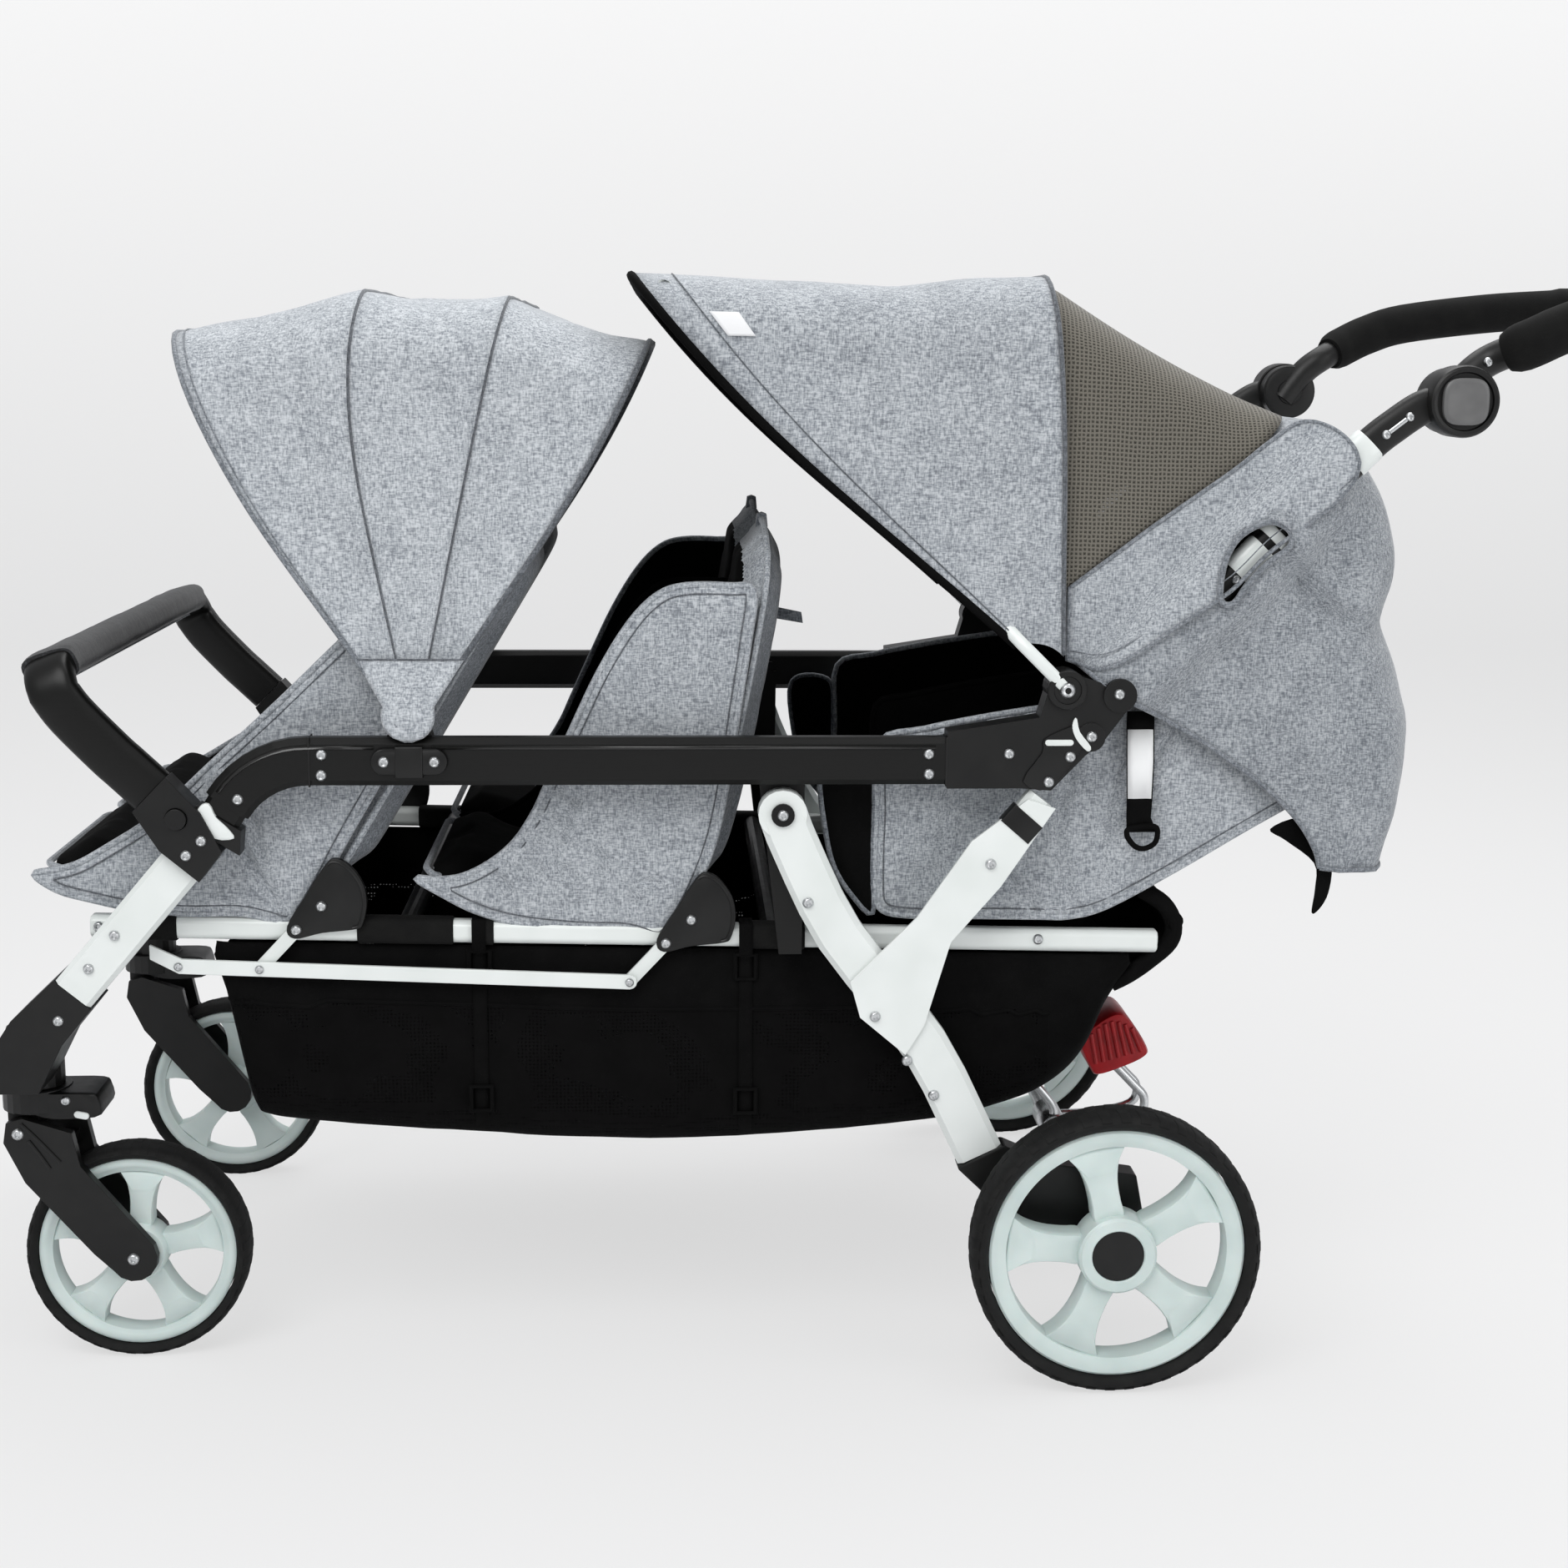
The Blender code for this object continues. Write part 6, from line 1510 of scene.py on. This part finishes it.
for side, sign in SIDES:
    for row in ("front", "middle"):
        pivot, pin, end = HINGES[row], *(tuple(np.add(HINGES[row], p)) for p in (ARM_PIN, ARM_END))
        outline = [(pivot[0] + x, pivot[1] + z) for x, z in HINGE_PLATE]
        bm = plate_mesh(outline, sign * 0.2668, sign * 0.2722, 0.0012)
        rib = [(pivot[0] + x * 0.93, pivot[1] + z * 0.93) for x, z in HINGE_PLATE[8:32]]
        cord_mesh([at(p, sign * 0.2722) for p in rib], 0.0011, 6, target=bm)
        add(f"{row}_hinge_plate_{side}", bm, BLACK, f"{row}_backs", smooth=40)
        arm = plate_mesh(capsule(pin, end, 0.0058), sign * 0.2675, sign * 0.2714)
        add(f"{row}_hinge_arm_{side}", arm, WHITE, f"{row}_backs", smooth=40)
        screws(f"{row}_hinge_screws_{side}", f"{row}_backs", sign * 0.2724, (pivot, pin))
    screws(f"frame_screws_{side}", "frame", sign, FRAME_SCREWS)
    screws(f"hood_bolt_{side}", "rear_canopy", sign * 0.3128, (HINGE,), 0.0070)
    screws(f"rear_frame_screws_{side}", "rear_frame", sign, REAR_SCREWS, 0.0050)
    screws(f"link_pins_{side}", "link_bars", sign * 0.2762, mm(-741, 364, -422, 350, -810, 367), 0.0040)
    screws(f"fork_screws_{side}", f"fork_{side}", sign * 0.2692, mm(-862, 98, -956, 215), 0.0056)
print("hinge plates, arms and screws: both sides")

# %% [markdown]
# Small pieces on the rails and tubes: the clip that holds the canopy, the seams of the rail's end sleeves, the
# white tube end that shows at the front joint, foam sleeves on the lower tubes and the strap with a reflecting
# strip that holds the folded stroller shut.

# %% Clips, sleeves and strap
STRAP_Y, SLEEVE_HALF = 0.2772, 0.0118
RAIL_ENDS, RAIL_SECTION = (-0.6882, -0.1507), mm(286.8, 530.3, 286.8, 571.7, 307.2, 571.7, 307.2, 530.3)
CRESCENT = smooth_line(mm(-781, 512, -777.5, 497, -767.5, 486, -752, 486.5, -757.5, 496, -766.5, 505, -772, 516), 3,
                       closed=True)
D_RING = smooth_line(mm(14, 486, 13.5, 479, 20.5, 470.5, 28.5, 468.5, 37.5, 473, 40, 482, 37.5, 488, 26, 488.5), 4,
                     closed=True)
COLLAR, COLLAR_SLOPE = (-0.0850, 0.4970), math.radians(49)
ARM_PLATE = smooth_line(mm(-67.2, 570.5, -69, 558.5, -85, 533.5, -60, 527.5, -32.5, 564.5, -30, 570, -39, 581.5,
                           -45, 581.5), 3, closed=True)
TUBE_HOOK = smooth_line(mm(-42.5, 587, -40, 588.5, -37, 577, -27, 564, -30, 560, -39.5, 570, -43.5, 580), 3,
                        closed=True)


def flat_strap(edges, y, sign):
    """Rows of a slightly wavy strap through (z, front x, rear x)."""
    return [[at((mix(a, b, k / 4), z), sign * (y + 0.0006 * math.sin(k * 1.6))) for k in range(5)] for z, a, b in edges]


def square_turn(angle, power):
    """A point on a rounded square of half width 1."""
    return tuple(math.copysign(abs(f(angle)) ** power, f(angle)) for f in (math.cos, math.sin))


for side, sign in SIDES:
    bm = plate_mesh(capsule((-0.6255, 0.552), (-0.5835, 0.552), 0.0112), sign * 0.3060, sign * 0.3125, 0.0016)
    plate_mesh(mm(-616, 538.5, -593, 538.5, -593, 565, -616, 565), sign * 0.3060, sign * 0.3142, 0.0014, bm)
    add(f"canopy_clip_{side}", bm, BLACK, smooth=35)
    seams = bmesh.new()
    for x in RAIL_ENDS:
        cord_mesh([at((x, z), sign * y) for y, z in RAIL_SECTION], 0.0009, 6, closed=True, target=seams)
    add(f"rail_seams_{side}", seams, BLACK, smooth=40)
    add(f"joint_tube_end_{side}", plate_mesh(CRESCENT, sign * 0.300, sign * 0.3095, 0.0012), WHITE, smooth=40)
    sleeves = bmesh.new()
    for x0, x1 in mm(-658, -575, -325, -268, -553, -540, -846, -812):
        rows = []
        for x, half in ((x0, SLEEVE_HALF - 0.0012), (x0 + 0.0015, SLEEVE_HALF), (x1 - 0.0015, SLEEVE_HALF),
                        (x1, SLEEVE_HALF - 0.0012)):
            turns = [square_turn(2 * math.pi * k / 24, 0.5) for k in range(25)]
            rows.append([at((x, tube_height(x) + half * v), sign * 0.256 + half * u) for u, v in turns])
        sheet_mesh(rows, sleeves)
    add(f"tube_sleeves_{side}", sleeves, FOAM, smooth=40)
    strap = sheet_mesh(flat_strap(((0.590, 0.0095, 0.0335), (0.575, 0.0095, 0.0340), (0.545, 0.0105, 0.0350),
                                   (0.512, 0.0118, 0.0345), (0.496, 0.0122, 0.0338), (0.483, 0.0126, 0.0395)),
                                  STRAP_Y, sign))
    add_cord(strap, [at(p, sign * 0.2785) for p in D_RING], 0.0019, 0, closed=True)
    add(f"fold_strap_{side}", strap, BLACK_CLOTH, smooth=50, thick=1.2, offset=0.0)
    strip = sheet_mesh(flat_strap(((0.574, 0.0103, 0.0328), (0.545, 0.0113, 0.0338), (0.513, 0.0126, 0.0333)),
                                  STRAP_Y + 0.0009, sign))
    add(f"strap_reflector_{side}", strip, REFLECTOR, smooth=50, thick=0.6, offset=0.0)
    corners = []
    for u, v in mm(-9.5, -16, 9.5, -16, 9.5, 16, -9.5, 16):
        cos, sin = math.cos(COLLAR_SLOPE), math.sin(COLLAR_SLOPE)
        corners.append((COLLAR[0] + cos * u - sin * v, COLLAR[1] + sin * u + cos * v))
    collar = plate_mesh(corners, sign * 0.2990, sign * 0.3118, 0.0015)
    add(f"brace_collar_{side}", collar, BLACK, "rear_frame", smooth=35)
    add(f"bracket_arm_{side}", plate_mesh(ARM_PLATE, sign * 0.3060, sign * 0.3088, 0.0012), BLACK, smooth=35)
    white = plate_mesh(capsule((-0.0640, 0.5675), (-0.0445, 0.5675), 0.0026), sign * 0.3080, sign * 0.3098)
    plate_mesh(TUBE_HOOK, sign * 0.3080, sign * 0.3098, target=white)
    add(f"bracket_tube_{side}", white, WHITE, smooth=35)
print("clips, seams, sleeves and straps: both sides")

# %% [markdown]
# The rail's extrusion has a narrow lip along its outer face, whose upper side leans back and catches the light.
# It is a wedge 3 mm high, left out where the canopy's clip sits.

# %% Lip of the rails
LIP_SECTION = mm(94.3, 0.2, 91.1, 1.3, 90.4, -0.4)
BEND_CENTRE, OUTER_FACE = (-0.690, 0.471), 0.3070
front_run = [(angle, None) for angle in range(144, 88, -6)] + [(90, -0.634)]
rear_run = [(90, -0.586), (90, -0.160)]
for side, sign in SIDES:
    ridges = bmesh.new()
    for run in (front_run, rear_run):
        rows = []
        for angle, x in run:
            spots = [(polar(BEND_CENTRE, radius, angle), proud) for radius, proud in LIP_SECTION]
            rows.append([at((spot[0] if x is None else x, spot[1]), sign * (OUTER_FACE + proud))
                         for spot, proud in spots])
        sheet_mesh(rows, ridges)
    add(f"rail_lip_{side}", ridges, LIP_FINISH, smooth=40, thick=0.3)

# %% [markdown]
# Each caster has a clamp block under its head, with a screw and a sprung clip, and two ribs on each fork cheek.

# %% Caster details
LOCK_BLOCK = smooth_line(mm(-956, 250, -925, 250.5, -893, 250, -886.5, 244, -885.5, 229.5, -905, 226.2, -930, 226.2,
                            -948.5, 233), 3, closed=True)
RIBS = (mm(-953, 224.5, -940, 211, -921, 189), mm(-947, 209, -938, 196, -930, 183))
for side, sign in SIDES:
    caster, fork = f"caster_{side}", f"fork_{side}"
    add(f"caster_lock_{side}", plate_mesh(LOCK_BLOCK, sign * 0.2130, sign * 0.2640, 0.0040), BLACK, caster, smooth=35)
    clip = plate_mesh(capsule((-0.9050, 0.2312), (-0.8980, 0.2297), 0.0030), sign * 0.2630, sign * 0.2660)
    add(f"caster_clip_{side}", clip, WHITE, caster, smooth=35)
    screws(f"caster_screws_{side}", caster, sign * 0.2641, mm(-915, 243.5), 0.0045)
    ribs = bmesh.new()
    for line in RIBS:
        cord_mesh(smooth_line([at(p, sign * 0.2690) for p in line], 4), 0.0018, 8, target=ribs)
    add(f"fork_ribs_{side}", ribs, BLACK, fork, smooth=40)

# %% [markdown]
# The front bar is a wide flat arm at each side, in satin black, with a quilted melange sleeve over the crossing.
# The arms and the crossing are one smooth sweep with a rounded section, along the same line as the frame's bar.


# %% Front bar
def bar_sweep(path, width, depth, power=0.55, sides=24, target=None, taper=None):
    """A rounded-rectangle section along a path of points; width lies in the plane of the path's side view."""
    bm = target or bmesh.new()
    line = [Vector(p) for p in path]
    side = Vector((0, 1, 0))
    rings = []
    for i, point in enumerate(line):
        run = (line[min(i + 1, len(line) - 1)] - line[max(i - 1, 0)]).normalized()
        side = (side - run * side.dot(run)).normalized()
        rise = side.cross(run)
        scale = taper[i] if taper else 1.0
        turns = [square_turn(2 * math.pi * (k + 0.5) / sides, power) for k in range(sides)]
        rings.append([bm.verts.new(point + rise * (u * width / 2 * scale) + side * (v * depth / 2 * scale))
                      for u, v in turns])
    bridge(bm, rings)
    bm.faces.new(rings[0])
    bm.faces.new(list(reversed(rings[-1])))
    return bm


BAR_JOINT, BAR_ANGLE, BAR_Y = (-0.8205, 0.5245), 136, 0.295
BAR_WIDTH, BAR_DEPTH = 0.041, 0.024


def bar_line():
    """Middle line of the left half of the bar, from the joint to the middle of the crossing."""
    bend = 0.030
    near = [polar(BAR_JOINT, r, BAR_ANGLE) for r in (0.0005, 0.015, 0.030, 0.048)] + mm(-884, 589, -897.5, 608)
    arm = smooth_line([at(p, -BAR_Y) for p in near], 4)
    crest = at((-0.9045, 0.6280), -BAR_Y + bend)
    rise = (crest - Vector(arm[-1]) - Vector((0, bend, 0))).normalized()
    corner = [crest + rise * (bend * 0.75 * (math.sin(a) - 1)) + Vector((0, -bend * math.cos(a), 0))
              for a in (math.pi / 2 * k / 8 for k in range(2, 9))]
    return [Vector(p) for p in arm] + corner + [Vector((corner[-1].x, -0.26 * (1 - k / 12), corner[-1].z))
                                               for k in range(1, 12)]


half = bar_line()
whole = half + mirrored(half)
add("bar_arms", bar_sweep(whole, BAR_WIDTH, BAR_DEPTH), RAIL, "safety_bar", ["front_bar"])
sleeve_line = [p for p in whole if abs(p.y) < 0.281]
sleeve = bar_sweep(sleeve_line, BAR_WIDTH + 0.005, BAR_DEPTH + 0.005, power=0.6)
for vert in sleeve.verts:
    vert.co += vert.co.normalized() * (ripple(vert.co, 0.03, 0.0010, 61.0) + ripple(vert.co, 0.012, 0.0005, 62.0))
add_cord(sleeve, [p + Vector((0.006, 0, -0.0150)) for p in sleeve_line[1:-1]], 0.0011, 1, sides=6)
add("bar_sleeve", sleeve, (BAR_CLOTH, GREY), "safety_bar")
print("front bar: arms and quilted sleeve")

# %% [markdown]
# The handle. Each post is a black tube between two white collars, with a slot and two rivets near the top, and
# ends in a round housing with a soft square button. The grip is a black tube in a foam sleeve that bends round
# each corner. What the picture cuts off at the right is a plain closed bow.

# %% Handle
KNOB = (0.281, 0.857)
POST_MID_Y, RIVET_Y = 0.2912, 0.3012
POST_LINE = mm(10, 621, 60, 672, 110, 723, 158, 772, 205, 818.5, 228, 837, 248, 850.5, 264, 856)
COLLARS = (((0.1985, 0.8135), 0.0115, 0.0322), ((0.1285, 0.7425), 0.0050, 0.0322), ((0.1080, 0.7215), 0.0160, 0.0306))
slope = Vector((math.cos(math.radians(POST_SLOPE)), 0, math.sin(math.radians(POST_SLOPE))))
inner, outer = POST_MID_Y - 0.0097, POST_MID_Y + 0.0200
SHELL = ((0.0085, inner), (0.0290, inner), (0.0300, inner + 0.001), (0.0302, outer - 0.0040), (0.0292, outer - 0.0012),
         (0.0272, outer), (0.0245, outer - 0.0006), (0.0236, outer - 0.0030), (0.0085, outer - 0.0035))
# The soft square button: half width and height over the housing's face, both in metres
BUTTON_CROWN = mm(19.5, -3.5, 19.5, 1.2, 18.6, 2.2, 16, 2.6, 15, 2.2, 0, 1.8)
for side, sign in SIDES:
    y = sign * POST_MID_Y
    post = bar_sweep(smooth_line([at(p, y) for p in POST_LINE], 4), 0.029, 0.0198, 0.75)
    add(f"post_tube_{side}", post, BLACK, replaced=[f"handle_post_{side}"])
    collars = bmesh.new()
    for centre, reach, wide in COLLARS:
        bar_sweep([at(centre, y) + slope * s for s in (-reach, -reach * 0.85, reach * 0.85, reach)], wide, 0.0222, 0.75,
                  target=collars, taper=(0.95, 1.0, 1.0, 0.95))
    add(f"post_collars_{side}", collars, WHITE)
    slot_line = [mix((0.2175, 0.8290), (0.2370, 0.8440), k / 6) for k in range(7)]
    slot = cord_mesh([at(p, sign * 0.3008) for p in slot_line], 0.0020, 8, flat=0.5)
    add(f"post_slot_{side}", slot, ZINC, smooth=50)
    screws(f"post_rivets_{side}", "frame", sign * RIVET_Y, (slot_line[0], slot_line[6], (0.094, 0.7065)), 0.0040)
    centre = at(KNOB, 0)
    housing = lathe_mesh([(r, sign * h) for r, h in SHELL], centre, 64)
    add(f"knob_housing_{side}", housing, BLACK, smooth=35)
    turns = [square_turn(2 * math.pi * k / 48, 0.62) for k in range(49)]
    cap = sheet_mesh([[centre + Vector((size * u, sign * (outer + proud), size * v)) for u, v in turns]
                      for size, proud in BUTTON_CROWN])
    bmesh.ops.remove_doubles(cap, verts=cap.verts, dist=1e-5)
    add(f"knob_button_{side}", cap, BUTTON, f"handle_release_{side}", [f"handle_button_{side}"], 40)

GRIP_TOP, GRIP_END, GRIP_WIDE, GRIP_CORNER = 0.9495, 0.620, 0.290, 0.045
NECK_Y = 0.2662
x, z = KNOB
half = [(x - 0.006, -NECK_Y, z - 0.008), (x + 0.006, -NECK_Y, z + 0.009), (x + 0.019, -NECK_Y, z + 0.024),
        (x + 0.036, -NECK_Y - 0.001, z + 0.036), (x + 0.062, -GRIP_WIDE + 0.006, GRIP_TOP - 0.044),
        (x + 0.090, -GRIP_WIDE + 0.002, GRIP_TOP - 0.031), (x + 0.130, -GRIP_WIDE, GRIP_TOP - 0.019),
        (GRIP_END - 0.120, -GRIP_WIDE, GRIP_TOP - 0.0075), (GRIP_END - GRIP_CORNER, -GRIP_WIDE, GRIP_TOP - 0.002)]
run = smooth_line(half, 5)
run += [(GRIP_END - GRIP_CORNER * (1 - math.sin(a)), -GRIP_WIDE + GRIP_CORNER * (1 - math.cos(a)), GRIP_TOP)
        for a in (math.pi / 2 * k / 8 for k in range(1, 9))]
run += [(GRIP_END, -0.20 * (1 - k / 8), GRIP_TOP) for k in range(0, 8)]
run = [at((px, pz), py) for px, py, pz in run]
whole = run + mirrored(run)
hubs = bmesh.new()
for side, sign in SIDES:
    for profile in (mm(0, 260.7, 27, 260.7, 28, 261.7, 28, 279.7, 27, 280.5, 0, 280.5),
                    mm(26.2, 260.2, 22.5, 259, 13, 259.2, 12.5, 257.5, 0, 257.2)):
        lathe_mesh([(r, sign * y) for r, y in profile], at(KNOB), 48, hubs)
add("handle_hubs", hubs, BLACK, "handle", smooth=35)
add("handle_tube", bar_sweep(whole, 0.027, 0.025, 1.0, 16), BLACK, "handle")
FOAM_START = 17
foam_line = whole[FOAM_START:len(whole) - FOAM_START]
ends = [0.80, 0.95] + [1.0] * (len(foam_line) - 4) + [0.95, 0.80]
foam = bar_sweep(foam_line, 0.0415, 0.0395, 0.95, 32, taper=ends)
add("handle_foam", foam, FOAM, "handle", ["handle_grip"])
neck = bmesh.new()
for side, sign in SIDES:
    profile = [(r * 0.0040 / 0.0048, sign * h * 0.0040 / 0.0048) for r, h in SCREW_HEAD]
    lathe_mesh(profile, at((x + 0.028, z + 0.033), sign * (NECK_Y + 0.0125)), 20, neck)
add("handle_neck_screws", neck, ZINC, "handle", smooth=40)
print("handle: posts, collars, housings, buttons and foam grip")

# %% [markdown]
# The foot brake is a red ribbed tread on two zinc rods that turn with a sleeve on the axle.

# %% Brake
TREAD = smooth_line(mm(22, 219, 36, 236, 57, 248.5, 71, 243, 90, 214, 88.5, 203, 66, 192, 42, 184.5, 34, 191), 4,
                    closed=True)
TREAD_LAYERS = zip((-0.034, -0.0335, -0.030, 0.030, 0.0335, 0.034), (0.86, 0.95, 1.0, 1.0, 0.95, 0.86))
middle = tuple(np.mean(TREAD, 0))
tread = bmesh.new()
layers = [[tread.verts.new(at(mix(middle, p, scale), y)) for p in TREAD] for y, scale in TREAD_LAYERS]
bridge(tread, layers)
tread.faces.new(layers[0])
tread.faces.new(layers[-1])
for sign in (-1, 1):
    for k in range(7):
        top = mix((0.033, 0.228), (0.0735, 0.2335), k / 6)
        top = (top[0], top[1] + 0.010 * math.sin(math.pi * k / 6))
        foot = mix((0.039, 0.197), (0.084, 0.2095), k / 6)
        cord_mesh([at(mix(top, foot, i / 5), sign * 0.0345) for i in range(6)], 0.0022, 8, target=tread)
add("brake_tread", tread, RED, "brake", ["brake_pedal"], 40)
ROD, SHORT_ROD = mm(52, 200, 80, 171, 92, 156, 86, 138, 50, 129, 12, 127), mm(-26, 178, -12, 163, -1, 148, 0, 136)
rods = bmesh.new()
for y, line in ((-0.020, ROD), (-0.020, SHORT_ROD), (0.020, ROD)):
    cord_mesh(smooth_line([at(p, y) for p in line], 4), 0.0045, 12, target=rods)
lathe_mesh(mm(8.5, -29.5, 13.5, -29.5, 14, -29, 14, 29, 13.5, 29.5, 8.5, 29.5), at((0, 0.127)), 32, rods)
add("brake_rods", rods, ZINC, "brake", smooth=45)
print("brake: ribbed tread on two rods")
